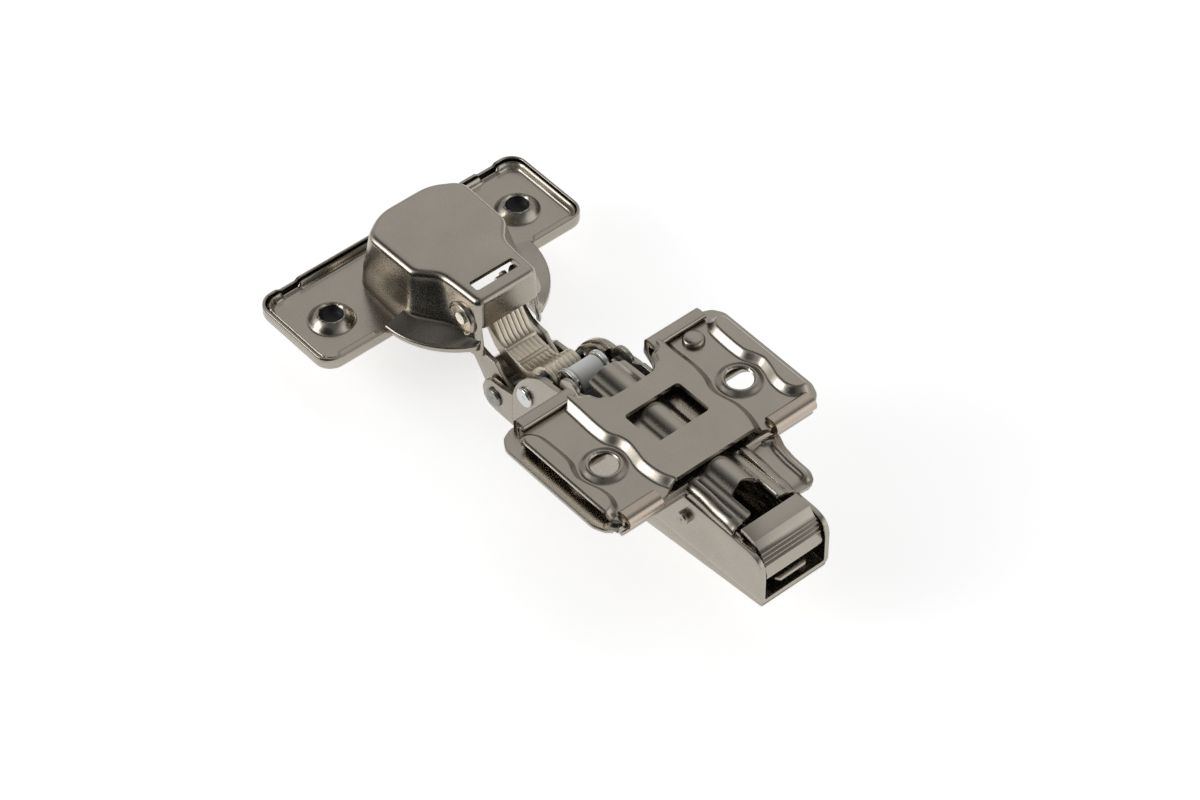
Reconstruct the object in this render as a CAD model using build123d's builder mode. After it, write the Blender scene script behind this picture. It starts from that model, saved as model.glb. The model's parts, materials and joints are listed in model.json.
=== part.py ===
"""Concealed cabinet hinge, opened to a right angle, lying with its mounting plate upwards.

Millimetres. The origin lies midway between the two plate screw holes, on the face that meets the
cabinet side. +X runs along the arm to its rear end, +Z points into the cabinet side.
"""
from build123d import *
import math
import os

os.makedirs("parts", exist_ok=True)

# Fits
running_gap = 0.05
side_gap = 0.2
slide_gap = 0.05
cam_slack = 0.3
outside = 30.0

# Base plate
plate_screw_spacing = 32.0
plate_screw_radius = 2.4
plate_sheet = 0.9
recess_depth = 1.5
emboss_taper = 40.0
plate_front = -17.0
plate_rear = 11.3
plate_half_width = 23.4
screw_boss_radius = 4.0
screw_boss_top_radius = 2.9
screw_boss_height = recess_depth
window_front = -5.9
window_rear = 2.8
window_half_width = 6.4
window_corner = 0.8
sheet_shift = 0.6
hollow_half_length = 12.0

# Carriage plate
carriage_sheet = 0.9
carriage_front = -18.3
carriage_rear = 12.6
carriage_half_width = 26.2
carriage_lip = 0.3
lip_height = 0.55
hem_top = -0.2
hem_inner = 9.3
hem_outer = 21.3
hem_reach = 3.0
roll_inner = 13.9
roll_outer = 22.4
roll_reach = 3.2
height_travel = 2.0
lip_x = -3.5
lip_length = 20.0
roll_rear = 12.3
arch_radius = 4.6
arch_crest = -1.1
arch_front = -18.2
arch_rear = 19.2
arch_mouth_half_width = 3.2
arch_relief = 0.6
saddle_front = -8.2
saddle_rear = 24.6
saddle_half_width = 6.8
saddle_wall_bottom = -8.0
hook_wall = 0.85
hook_radius = 2.9
hook_x = -20.3
hook_z = -5.6
hook_bottom = -8.9
hook_notch_width = 2.2
hook_notch_top = -6.6
flap_top = -3.45

# Eccentric cams and the side screw
cam_swing = 60.0
cam_shaft_radius = 1.75
cam_slot_length = 3.6
cam_slot_width = 0.8
cam_slot_depth = 0.5
height_cam_x = -12.8
height_cam_y = 16.4
height_cam_top = 0.8
height_disc_radius = 2.6
height_head_radius = 2.9
height_head_height = 0.9
depth_travel = 1.5
depth_cam_x = 17.0
depth_disc_radius = 1.7
depth_disc_drop = 0.3
depth_head_radius = 2.6
depth_head_height = 0.8
side_screw_x = 10.0
side_screw_radius = 2.0
side_screw_reach = 1.6
side_collar_radius = 3.2
side_collar_height = 1.0
side_slot_length = 3.0
side_slot_width = 0.7
side_slot_depth = 1.0

# Adapter frame
adapter_half_width = 5.85
adapter_sheet = 0.85
adapter_front = -22.6
adapter_rear = 29.0
adapter_web_front = 6.0
adapter_web_rear = 27.0
adapter_web_top = -13.6
stub_x = -21.1
stub_z = -7.75
stub_radius = 1.0

# Release lever and latch tongue
lever_x = 25.6
lever_z = -9.3
lever_pin_radius = 1.1
lever_half_width = 6.5
lever_cheek_y = 4.4
lever_cheek_thickness = 0.9
ridge_height = 0.35
spring_wire = 0.3
spring_half_length = 3.2
spring_leg_width = 6.0
spring_leg_height = 2.6
tongue_half_width = 3.7
tongue_rear = 32.4
tongue_corner = 0.8
tongue_sheet = 0.8

# Arm
arm_half_width = 8.0
arm_sheet = 1.0
arm_top = -5.0
arm_rear = 32.9
arm_front = -35.2
web_rear_z = -16.2
web_slope = 0.0464
crank_x = -16.0
cap_rear_z = -17.6
cap_slope = 0.119
cap_sheet = 0.8
cap_half_width = 7.4
cap_edge_radius = 0.7
cap_front = crank_x + 1.0
crank_length = 4.0
bracket_rear = -25.6
bracket_inner = 6.15
joggle_x = arm_front - 1.0
joggle_thickness = 0.95

# Pivots in the arm and the cup, in the side view
lower_pivot = (-40.5, -21.8)
upper_pivot = (-31.4, -14.5)
cup_pivot = (-49.7, -8.0)
hidden_pivot = (-54.1, -9.7)
lower_pin_radius = 1.6
upper_pin_radius = 1.9
cup_pin_radius = 1.25
cup_pin_reach = 0.9
hidden_pin_radius = 0.7
hidden_pin_inner = 4.0
lower_head_radius = 2.1
upper_head_radius = 2.2
pin_head_height = 0.35

# Links
lamina_count = 7
lamina_pitch = 1.03
lamina_gap = 0.05
rivet_place = (-30.8, -11.4)
rivet_radius = 0.75
rivet_half_length = 5.0
outer_link_half_width = 6.35
outer_link_sheet = 0.95

# Roller, its slider, the damper and the closing spring
roller_x = -23.8
roller_z = -8.3
roller_radius = 2.9
roller_half_width = 3.2
roller_edge = 0.25
ring_radius = 3.3
ring_width = 0.9
ring_room = 0.4
ring_side_gap = 0.02
axle_radius = 1.0
axle_half_length = 4.7
slider_rear = -8.0
slider_half_width = 4.75
damper_z = -12.2
damper_radius = 1.9
damper_front = -4.0
damper_length = 8.0
damper_rod_radius = 0.8
seat_front = 1.6
seat_rear = 4.0
seat_width = 3.0
seat_cut = 1.6
closing_wire = 0.45
closing_radius = 2.75
closing_pitch = 1.5
closing_turns = 6

# Cup
cup_x = -60.9
door_plane = -13.2
cup_depth = 11.3
cup_sheet = 0.9
disc_radius = 17.5
disc_height = 1.35
disc_drop = 0.4
skirt_height = 2.5
neck_half_width = 7.5
mouth_x = -45.3
mouth_depth = 2.2
tray_floor = -14.9
tray_sheet = 0.8
tray_rim = 0.7
tray_half_length = 30.4
tray_far = -80.9
tray_near = -60.9
tray_corner = 3.0
tray_rim_top = -13.5
cover_bottom = -16.1
cover_sheet = 0.55
cover_edge = 0.3
cover_end_room = 0.55
cover_far_room = 0.75
cover_near_room = 0.15
cover_corner_room = 0.05
wing_half_length = tray_half_length + cover_sheet + cover_end_room
wing_far = tray_far - cover_sheet - cover_far_room
wing_near = tray_near + cover_sheet + cover_near_room
wing_corner = tray_corner + cover_sheet + cover_corner_room
cover_hole_radius = 2.35
cover_crimp_length = 9.0
cover_crimp_width = 1.4
cover_crimp_depth = 0.25
cover_crimp_y = 23.0
wing_screw_spacing = 45.0
wing_screw_x = -70.4
wing_screw_radius = 2.05
dome_radius = 4.1
dome_ball_radius = 4.95
top_edge_radius = 0.8
front_wall_bottom = -8.5
slot_front = -51.0
slot_rear = -48.4
slot_half_length = 5.1

flank_width = recess_depth * math.tan(math.radians(emboss_taper))
carriage_top = -recess_depth - plate_sheet - slide_gap
carriage_bottom = carriage_top - carriage_sheet
arch_centre = arch_crest - arch_radius
height_cam_offset = height_travel / math.sin(math.radians(cam_swing))
depth_cam_offset = depth_travel / math.sin(math.radians(cam_swing))
cup_top = door_plane + cup_depth
base_z = door_plane + skirt_height
disc_top = door_plane - disc_drop + disc_height
dome_centre = tray_floor - math.sqrt(dome_ball_radius**2 - dome_radius**2)


def mirrored(points):
    """Points of one side, followed by their mirror images in the X axis, as a closed outline."""
    return points + [(x, -y) for x, y in reversed(points) if y]


def web_z(x):
    """Height of the underside of the arm's web."""
    return web_rear_z - (arm_rear - x) * web_slope


def cap_z(x):
    """Height of the underside of the cover cap."""
    return cap_rear_z - (arm_rear - x) * cap_slope


# Base plate: one sheet with a raised H and raised outer ridges.
plate_side = [
    (plate_rear, 0), (plate_rear, 10.6), (12.3, 12.0), (12.3, 22.4), (9.8, plate_half_width + 0.6),
    (6.0, plate_half_width + 0.4), (-12.8, plate_half_width), (-14.6, 22.4), (plate_front, 21.4),
    (plate_front, 9.5), (-14.9, 9.1), (-14.4, 7.4), (-12.2, 6.3), (-10.8, 5.2), (-10.6, 0),
]
raised_foot = [
    (-19.0, 8.4), (-15.2, 8.6), (-15.1, 11.4), (-13.7, 12.4), (-8.7, 12.8), (-4.1, 12.6), (-1.6, 11.8),
    (1.9, 11.7), (4.0, 12.2), (6.2, 12.9), (8.6, 12.4), (10.3, 11.2), (14.0, 10.6),
]
ridge_foot = [
    (14.0, 26.0), (9.6, 25.6), (9.0, 22.0), (7.8, 20.8), (5.3, 20.8), (2.6, 22.0), (-0.8, 22.0),
    (-4.0, 20.6), (-8.8, 20.1), (-12.5, 20.1), (-14.7, 21.6), (-15.0, 23.0), (-19.0, 24.0),
]
ridge_hollow = [(7.4, 22.0), (5.3, 21.4), (2.6, 22.6), (-0.8, 22.6), (-4.0, 21.2), (-8.8, 20.7),
                (-12.0, 20.8),
                (-13.0, 22.2)]

with BuildPart() as base_plate:
    with BuildSketch(Plane.XY.offset(-recess_depth - plate_sheet)):
        with BuildLine():
            Polyline(*mirrored(plate_side), close=True)
        make_face()
    extrude(amount=recess_depth + plate_sheet)
    for side in (1, -1):
        with BuildSketch(Plane.XY.offset(-recess_depth)):
            with BuildLine():
                Polyline(*[(x, side * y) for x, y in raised_foot + ridge_foot], close=True)
            make_face()
        extrude(amount=recess_depth, taper=-emboss_taper, mode=Mode.SUBTRACT)
        for height, shift in ((0, 0), (recess_depth, flank_width)):
            with BuildSketch(Plane.XY.offset(-recess_depth - plate_sheet + height)):
                with BuildLine():
                    inner = [(x * (1 - shift / hollow_half_length), side * (y + shift))
                             for x, y in ridge_hollow]
                    Polyline(*inner, (inner[-1][0], side * outside), (inner[0][0], side * outside),
                             close=True)
                make_face()
        loft(ruled=True, mode=Mode.SUBTRACT)
    for height, shift in ((0, sheet_shift), (recess_depth, sheet_shift + flank_width)):
        with BuildSketch(Plane.XY.offset(-recess_depth - plate_sheet + height)):
            with BuildLine():
                Polyline(*mirrored([(x, y - shift) for x, y in raised_foot]), close=True)
            make_face()
    loft(ruled=True, mode=Mode.SUBTRACT)
    with Locations((0, plate_screw_spacing / 2, -recess_depth),
                   (0, -plate_screw_spacing / 2, -recess_depth)):
        Cone(screw_boss_radius, screw_boss_top_radius, screw_boss_height,
             align=(Align.CENTER, Align.CENTER, Align.MIN))
    with GridLocations(0, plate_screw_spacing, 1, 2):
        Cylinder(plate_screw_radius, outside, mode=Mode.SUBTRACT)
    with Locations((height_cam_x, height_cam_y)):
        Cylinder(cam_shaft_radius + running_gap, outside, mode=Mode.SUBTRACT)
    with BuildSketch(Plane.XY.offset(-outside / 2)):
        with Locations(((window_front + window_rear) / 2, 0)):
            RectangleRounded(window_rear - window_front, 2 * window_half_width, window_corner)
    extrude(amount=outside, mode=Mode.SUBTRACT)
base_plate.part.label = "base_plate"
export_step(base_plate.part, "parts/base_plate.step")

# Carriage plate: slides along the base plate between its hems and rolls, and carries the arm on its saddle.
carriage_side = [
    (carriage_rear, 0), (carriage_rear, 22.6), (10.6, 25.3), (8.2, carriage_half_width),
    (-15.2, carriage_half_width), (-17.3, 24.9), (carriage_front, 22.6), (carriage_front, 8.6),
    (-14.0, 7.4), (-12.4, 6.2), (-11.0, 3.9), (-11.0, 0),
]
saddle_section = [(3.6, -2.5), (5.0, -2.7), (6.3, -3.5), (saddle_half_width, -4.3),
                  (saddle_half_width, saddle_wall_bottom), (5.95, saddle_wall_bottom), (5.95, -4.6),
                  (4.7, -3.6),
                  (3.6, -3.4)]
flap = [(8.0, 5.6), (11.5, 11.1), (12.5, 14.2), (15.5, 12.9), (18.8, 12.3), (23.4, 12.1), (24.9, 11.0),
        (25.3, 6.9), (24.4, 6.6), (23.0, 5.6)]

with BuildPart() as carriage_plate:
    with BuildSketch(Plane.XY.offset(carriage_bottom)):
        with BuildLine():
            Polyline(*mirrored(carriage_side), close=True)
        make_face()
    extrude(amount=carriage_sheet)
    for side in (1, -1):
        with Locations((lip_x, side * (carriage_half_width - carriage_lip / 2), carriage_top)):
            Box(lip_length, carriage_lip, lip_height, align=(Align.CENTER, Align.CENTER, Align.MIN))
        with BuildSketch(Plane.XZ.offset(-side * (hem_inner + hem_outer) / 2)):
            with BuildLine():
                Polyline((carriage_front, carriage_bottom), (carriage_front, hem_top - 0.5),
                         (carriage_front + 0.5, hem_top), (carriage_front + hem_reach, hem_top),
                         (carriage_front + hem_reach, -recess_depth + slide_gap),
                         (plate_front - slide_gap, -recess_depth + slide_gap),
                         (plate_front - slide_gap, carriage_bottom), close=True)
            make_face()
        extrude(amount=(hem_outer - hem_inner) / 2, both=True)
        with BuildSketch(Plane.XZ.offset(-side * (roll_inner + roll_outer) / 2)):
            with BuildLine():
                Polyline((carriage_rear, carriage_bottom), (13.5, -2.4), (13.6, -1.2), (13.1, -0.5),
                         (roll_rear, hem_top), (carriage_rear + 0.4 - roll_reach, hem_top),
                         (carriage_rear + 0.4 - roll_reach, -recess_depth + slide_gap),
                         (roll_rear + slide_gap, -recess_depth + slide_gap),
                         (roll_rear + slide_gap, carriage_bottom),
                         close=True)
            make_face()
        extrude(amount=(roll_outer - roll_inner) / 2, both=True)
        with BuildSketch(Plane.YZ.offset(saddle_front)):
            with BuildLine():
                Polyline(*[(side * y, z) for y, z in saddle_section], close=True)
            make_face()
        extrude(amount=saddle_rear - saddle_front)
        with BuildSketch(Plane.XZ.offset(-side * (saddle_half_width - hook_wall / 2))):
            with Locations((hook_x, hook_z)):
                Circle(hook_radius)
            with BuildLine():
                Polyline((hook_x - hook_radius, hook_z), (hook_x - hook_radius, hook_bottom),
                         (-16.4, hook_bottom),
                         (-11.0, -4.2), (-8.0, carriage_bottom), (-8.0, carriage_top),
                         (hook_x, hook_z + hook_radius), close=True)
            make_face()
            with Locations((stub_x, hook_notch_top)):
                Rectangle(hook_notch_width, outside, align=(Align.CENTER, Align.MAX), mode=Mode.SUBTRACT)
        extrude(amount=hook_wall / 2, both=True)
    with BuildSketch(Plane.XY.offset(flap_top - carriage_sheet)):
        with BuildLine():
            Polyline(*flap, close=True)
        make_face()
    extrude(amount=carriage_sheet)
    with Locations(Location(((arch_front + arch_rear) / 2, 0, arch_centre), (0, 90, 0))):
        Cylinder(arch_radius, arch_rear - arch_front)
    with BuildSketch(Plane.XZ):
        with BuildLine():
            Polyline((arch_rear + 1.0, -outside), (arch_rear + 1.0, -3.6), (arch_rear - 1.4, 1.0),
                     (outside, 1.0),
                     (outside, -outside), close=True)
        make_face()
    extrude(amount=arch_mouth_half_width, both=True, mode=Mode.SUBTRACT)
    with Locations(Location((0, 0, arch_centre), (0, 90, 0))):
        Cylinder(arch_radius - carriage_sheet, 4 * outside, mode=Mode.SUBTRACT)
    with Locations((0, 0, arch_centre + arch_relief)):
        Box(4 * outside, 2 * (arch_radius + arch_relief), outside,
            align=(Align.CENTER, Align.CENTER, Align.MAX),
            mode=Mode.SUBTRACT)
    with BuildSketch(Plane.XY.offset(-outside / 2)):
        with Locations((height_cam_x + height_cam_offset * 0.75, height_cam_y)):
            RectangleRounded(2 * height_disc_radius + height_cam_offset * 0.6 + 2 * cam_slack,
                             2 * (height_disc_radius + cam_slack), height_disc_radius)
        with GridLocations(0, plate_screw_spacing, 1, 2):
            SlotOverall(2 * (plate_screw_radius + height_travel + side_gap),
                        2 * (plate_screw_radius + side_gap),
                        rotation=90)
    extrude(amount=outside, mode=Mode.SUBTRACT)
carriage_plate.part.label = "carriage_plate"
export_step(carriage_plate.part, "parts/carriage_plate.step")


def eccentric_cam(place, shaft_radius, shaft_span, disc_offset, disc_radius, disc_span, head_radius,
                  head_span):
    """A cam with a round shaft, an eccentric disc and a cross-slotted head, each between two heights."""
    x, y = place
    dx, dy = disc_offset
    rounds = [(x, y, shaft_radius, shaft_span), (x + dx, y + dy, disc_radius, disc_span),
              (x, y, head_radius, head_span)]
    with BuildPart() as cam:
        for cx, cy, radius, (low, high) in rounds:
            with BuildSketch(Plane.XY.offset(low)):
                with Locations((cx, cy)):
                    Circle(radius)
            extrude(amount=high - low)
        with BuildSketch(Plane.XY.offset(head_span[0])):
            with Locations((x, y)):
                Rectangle(cam_slot_length, cam_slot_width)
                Rectangle(cam_slot_width, cam_slot_length)
        extrude(amount=cam_slot_depth, mode=Mode.SUBTRACT)
    return cam.part


# Height cam: its shaft turns in the base plate, its disc moves the carriage plate sideways.
height_head_top = carriage_bottom - slide_gap
height_cam = eccentric_cam(
    (height_cam_x, height_cam_y), cam_shaft_radius, (carriage_top, -recess_depth + height_cam_top),
    (height_cam_offset, 0), height_disc_radius, (height_head_top, carriage_top),
    height_head_radius, (height_head_top - height_head_height, height_head_top))
height_cam.label = "height_cam"
export_step(height_cam, "parts/height_cam.step")

# Adapter frame: a channel inside the arm, hooked on the carriage's front ears by two stubs.
with BuildPart() as adapter_frame:
    for side in (1, -1):
        with BuildSketch(Plane.XZ.offset(-side * (adapter_half_width - adapter_sheet / 2))):
            with BuildLine():
                Polyline((adapter_front, -6.6), (-19.6, -6.6), (-14.0, -7.2), (20.0, -7.2),
                         (adapter_rear, -7.4),
                         (adapter_rear, -11.5), (adapter_web_rear, adapter_web_top - adapter_sheet),
                         (adapter_web_front, adapter_web_top - adapter_sheet), (-14.0, -10.2),
                         (adapter_front, -9.6), close=True)
            make_face()
            with Locations((stub_x, stub_z)):
                Circle(stub_radius, mode=Mode.SUBTRACT)
            with Locations((lever_x, lever_z)):
                Circle(lever_pin_radius, mode=Mode.SUBTRACT)
        extrude(amount=adapter_sheet / 2, both=True)
    with BuildSketch(Plane.XY.offset(adapter_web_top - adapter_sheet)):
        with Locations(((adapter_web_front + adapter_web_rear) / 2, 0)):
            Rectangle(adapter_web_rear - adapter_web_front, 2 * adapter_half_width)
        with Locations((side_screw_x, 0)):
            SlotOverall(2 * (side_screw_radius + depth_travel + side_gap),
                        2 * (side_screw_radius + side_gap),
                        mode=Mode.SUBTRACT)
        with Locations((depth_cam_x, depth_cam_offset * 0.75)):
            RectangleRounded(2 * (depth_disc_radius + cam_slack),
                             2 * (depth_disc_radius + cam_slack) + depth_cam_offset * 0.6, depth_disc_radius,
                             mode=Mode.SUBTRACT)
    extrude(amount=adapter_sheet)
adapter_frame.part.label = "adapter_frame"
export_step(adapter_frame.part, "parts/adapter_frame.step")

with BuildPart() as clip_stubs:
    for side in (1, -1):
        stub_length = saddle_half_width - adapter_half_width + adapter_sheet
        with BuildSketch(Plane.XZ.offset(-side * (saddle_half_width - stub_length / 2))):
            with Locations((stub_x, stub_z)):
                Circle(stub_radius)
        extrude(amount=stub_length / 2, both=True)
clip_stubs.part.label = "clip_stubs"
export_step(clip_stubs.part, "parts/clip_stubs.step")

# Release lever: a curved sheet across the arm's rear, with four finger ridges, turning on its pin.
lever_top = [(24.9, -4.6), (25.6, -3.1), (29.0, -3.5), (30.1, -4.7)]
lever_ridges = [(30.6, -5.2), (31.0, -5.9), (31.4, -6.6), (31.8, -7.3)]

with BuildPart() as release_lever:
    with BuildSketch(Plane.XZ):
        with BuildLine():
            ridge_line = []
            for x, z in lever_ridges:
                ridge_line += [(x, z), (x + ridge_height, z - 0.1), (x + ridge_height, z - 0.45),
                               (x + 0.1, z - 0.55)]
            Polyline(*lever_top, *ridge_line, (32.6, -9.4), (32.5, -10.4), (31.7, -10.8), (31.0, -10.2),
                     (31.5, -9.2), (30.2, -6.4), (29.0, -4.7), (26.2, -4.2), (25.8, -5.4), close=True)
        make_face()
    extrude(amount=lever_half_width, both=True)
    for side in (1, -1):
        with BuildSketch(Plane.XZ.offset(-side * lever_cheek_y)):
            with BuildLine():
                Polyline((25.4, -4.4), (29.2, -4.4), (31.6, -9.2), (31.4, -10.2), (26.8, -11.0),
                         (24.2, -10.6),
                         (24.0, -8.4), close=True)
            make_face()
            with Locations((lever_x, lever_z)):
                Circle(lever_pin_radius + running_gap, mode=Mode.SUBTRACT)
        extrude(amount=lever_cheek_thickness / 2, both=True)
release_lever.part.label = "release_lever"
export_step(release_lever.part, "parts/release_lever.step")

with BuildPart() as lever_pin:
    with BuildSketch(Plane.XZ):
        with Locations((lever_x, lever_z)):
            Circle(lever_pin_radius)
    extrude(amount=adapter_half_width, both=True)
lever_pin.part.label = "lever_pin"
export_step(lever_pin.part, "parts/lever_pin.step")

with BuildPart() as lever_spring:
    with BuildSketch(Plane.XZ):
        with Locations((lever_x, lever_z)):
            Circle(lever_pin_radius + 2 * spring_wire)
            Circle(lever_pin_radius + running_gap, mode=Mode.SUBTRACT)
    extrude(amount=spring_half_length, both=True)
    with Locations((lever_x - 1.4, 0, lever_z - 1.9)):
        Box(2 * spring_wire, spring_leg_width, spring_leg_height)
lever_spring.part.label = "lever_spring"
export_step(lever_spring.part, "parts/lever_spring.step")

# Latch tongue: the stop in the arm's rear mouth below the lever's nose.
with BuildPart() as latch_tongue:
    with BuildSketch(Plane.XY.offset(adapter_web_top)):
        with BuildLine():
            Polyline((24.0, -tongue_half_width), (tongue_rear - tongue_corner, -tongue_half_width),
                     (tongue_rear, tongue_corner - tongue_half_width),
                     (tongue_rear, tongue_half_width - tongue_corner),
                     (tongue_rear - tongue_corner, tongue_half_width), (24.0, tongue_half_width),
                     close=True)
        make_face()
    extrude(amount=tongue_sheet)
latch_tongue.part.label = "latch_tongue"
export_step(latch_tongue.part, "parts/latch_tongue.step")

# Arm channel: two side walls joined by a web that steps down at the crank.
arm_profile_top = [
    (arm_rear - 0.1, -9.0), (32.6, -7.0), (31.6, -5.8), (29.6, arm_top - 0.1), (28.0, arm_top),
    (-19.0, arm_top),
    (-22.5, -6.2), (-27.3, -6.9), (-30.1, -8.6), (-32.9, -11.6), (-34.5, -14.7), (arm_front, -17.0),
]
arm_profile = arm_profile_top + [
    (arm_front, -25.3), (crank_x - crank_length, cap_z(crank_x - crank_length)), (crank_x, web_z(crank_x)),
    (arm_rear - 0.4, web_z(arm_rear)), (arm_rear, web_z(arm_rear) + 0.8),
]
arm_inner = [
    (arm_rear + 5, 5), (arm_rear + 5, web_z(arm_rear + 5) + arm_sheet),
    (crank_x, web_z(crank_x) + arm_sheet),
    (crank_x - crank_length, cap_z(crank_x - crank_length) + arm_sheet),
    (arm_front - 5, cap_z(arm_front - 5) + arm_sheet),
    (arm_front - 5, 5),
]
with BuildPart() as arm_channel:
    with BuildSketch(Plane.XZ):
        with BuildLine():
            Polyline(*arm_profile, close=True)
        make_face()
        with Locations(upper_pivot):
            Circle(upper_pin_radius, mode=Mode.SUBTRACT)
    extrude(amount=arm_half_width, both=True)
    with BuildSketch(Plane.XZ):
        with BuildLine():
            Polyline(*arm_inner, close=True)
        make_face()
    extrude(amount=arm_half_width - arm_sheet, both=True, mode=Mode.SUBTRACT)
    with BuildSketch(Plane.XY.offset(-outside)):
        with Locations((depth_cam_x, 0)):
            Circle(cam_shaft_radius + running_gap)
        with Locations((side_screw_x, 0)):
            Circle(side_screw_radius + running_gap)
    extrude(amount=outside, mode=Mode.SUBTRACT)
arm_channel.part.label = "arm_channel"
export_step(arm_channel.part, "parts/arm_channel.step")

# Front bracket: lies inside the arm's front end and ends in the two ears of the lower pivot.
ear_profile = [
    (joggle_x + joggle_thickness, -17.2), (-38.4, -17.9), (-41.5, -18.2), (-43.3, -19.6), (-44.0, -21.5),
    (-43.6, -23.6),
    (-42.3, -24.9), (-40.4, -25.3), (-37.6, -25.3), (joggle_x + joggle_thickness, -25.3),
]
bracket_profile = [
    (joggle_x, -17.4), (-34.8, -15.4), (-33.0, -12.0), (-30.2, -9.2), (-27.6, -7.6), (bracket_rear, -7.4),
    (bracket_rear, -20.0), (joggle_x, -24.0),
]
with BuildPart() as front_bracket:
    for side in (1, -1):
        with BuildSketch(Plane.XZ.offset(-side * (arm_half_width - arm_sheet / 2))):
            with BuildLine():
                Polyline(*ear_profile, close=True)
            make_face()
            with Locations(lower_pivot):
                Circle(lower_pin_radius, mode=Mode.SUBTRACT)
        extrude(amount=arm_sheet / 2, both=True)
        with BuildSketch(Plane.XZ.offset(-side * (bracket_inner + arm_half_width - arm_sheet) / 2)):
            with BuildLine():
                Polyline(*bracket_profile, close=True)
            make_face()
            with Locations(upper_pivot):
                Circle(upper_pin_radius, mode=Mode.SUBTRACT)
        extrude(amount=(arm_half_width - arm_sheet - bracket_inner) / 2, both=True)
        with BuildSketch(Plane.XZ.offset(-side * (bracket_inner + arm_half_width) / 2)):
            with BuildLine():
                Polyline((joggle_x, -17.6), (joggle_x + joggle_thickness, -17.6),
                         (joggle_x + joggle_thickness, -23.8),
                         (joggle_x, -23.8), close=True)
            make_face()
        extrude(amount=(arm_half_width - bracket_inner) / 2, both=True)
    with BuildSketch(Plane.XZ):
        with BuildLine():
            Polyline((-34.6, -23.3), (-34.6, -22.4), (bracket_rear, -19.0), (bracket_rear, -20.0),
                     close=True)
        make_face()
    extrude(amount=bracket_inner + 0.3, both=True)
front_bracket.part.label = "front_bracket"
export_step(front_bracket.part, "parts/front_bracket.step")

# Cover cap below the arm.
cap_outer = [
    (cap_front, web_z(cap_front)), (cap_front, cap_z(cap_front) + 0.6), (cap_front + 0.8, cap_z(cap_front)),
    (arm_rear - 2.2, cap_z(arm_rear - 2.2)), (arm_rear - 0.4, cap_z(arm_rear) + 0.5),
    (arm_rear, web_z(arm_rear)),
]
cap_inner = [
    (cap_front + cap_sheet, web_z(cap_front) + 1), (cap_front + cap_sheet, cap_z(cap_front) + cap_sheet),
    (arm_rear - 2.4, cap_z(arm_rear - 2.4) + cap_sheet), (arm_rear - 2.2, web_z(arm_rear - 2.2) + 1),
]
with BuildPart() as arm_cover:
    with BuildSketch(Plane.XZ):
        with BuildLine():
            Polyline(*cap_outer, close=True)
        make_face()
    extrude(amount=cap_half_width, both=True)
    bottom_edges = arm_cover.edges().filter_by(lambda e: abs(abs(e.center().Y) - cap_half_width) < 0.01)
    fillet([e for e in bottom_edges if e.center().Z < web_z(e.center().X) - 0.8 and e.length > 5],
           radius=cap_edge_radius)
    with BuildSketch(Plane.XZ):
        with BuildLine():
            Polyline(*cap_inner, close=True)
        make_face()
    extrude(amount=cap_half_width - cap_sheet, both=True, mode=Mode.SUBTRACT)
arm_cover.part.label = "arm_cover"
export_step(arm_cover.part, "parts/arm_cover.step")


def side_pin(place, radius, half_length, head_radius, head_height):
    """A pin across the hinge, with a low round head outside each wall."""
    with BuildPart() as pin:
        with BuildSketch(Plane.XZ):
            with Locations(place):
                Circle(radius)
        extrude(amount=half_length, both=True)
        for side in (1, -1):
            with BuildSketch(Plane.XZ.offset(-side * (half_length + head_height / 2))):
                with Locations(place):
                    Circle(head_radius)
            extrude(amount=head_height / 2, both=True)
    return pin.part


lower_pin = side_pin(lower_pivot, lower_pin_radius, arm_half_width, lower_head_radius, pin_head_height)
lower_pin.label = "lower_pivot_pin"
export_step(lower_pin, "parts/lower_pivot_pin.step")
upper_pin = side_pin(upper_pivot, upper_pin_radius, arm_half_width, upper_head_radius, pin_head_height)
upper_pin.label = "upper_pivot_pin"
export_step(upper_pin, "parts/upper_pivot_pin.step")

# Depth cam and side screw, which turn in the arm's web.
depth_head_top = web_z(depth_cam_x - depth_head_radius) - slide_gap
depth_disc_bottom = adapter_web_top - adapter_sheet - depth_disc_drop
depth_cam = eccentric_cam(
    (depth_cam_x, 0), cam_shaft_radius, (depth_head_top, depth_disc_bottom),
    (0, depth_cam_offset), depth_disc_radius, (depth_disc_bottom, adapter_web_top),
    depth_head_radius, (depth_head_top - depth_head_height, depth_head_top))
depth_cam.label = "depth_cam"
export_step(depth_cam, "parts/depth_cam.step")

side_screw_bottom = web_z(side_screw_x) - side_screw_reach
with BuildPart() as side_screw:
    with BuildSketch(Plane.XY.offset(side_screw_bottom)):
        with Locations((side_screw_x, 0)):
            Circle(side_screw_radius)
    extrude(amount=adapter_web_top + side_screw_reach - side_screw_bottom)
    with BuildSketch(Plane.XY.offset(adapter_web_top + 2 * slide_gap)):
        with Locations((side_screw_x, 0)):
            Circle(side_collar_radius)
    extrude(amount=side_collar_height)
    with BuildSketch(Plane.XY.offset(side_screw_bottom)):
        with Locations((side_screw_x, 0)):
            Rectangle(side_slot_length, side_slot_width)
            Rectangle(side_slot_width, side_slot_length)
    extrude(amount=side_slot_depth, mode=Mode.SUBTRACT)
side_screw.part.label = "side_screw"
export_step(side_screw.part, "parts/side_screw.step")

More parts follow.
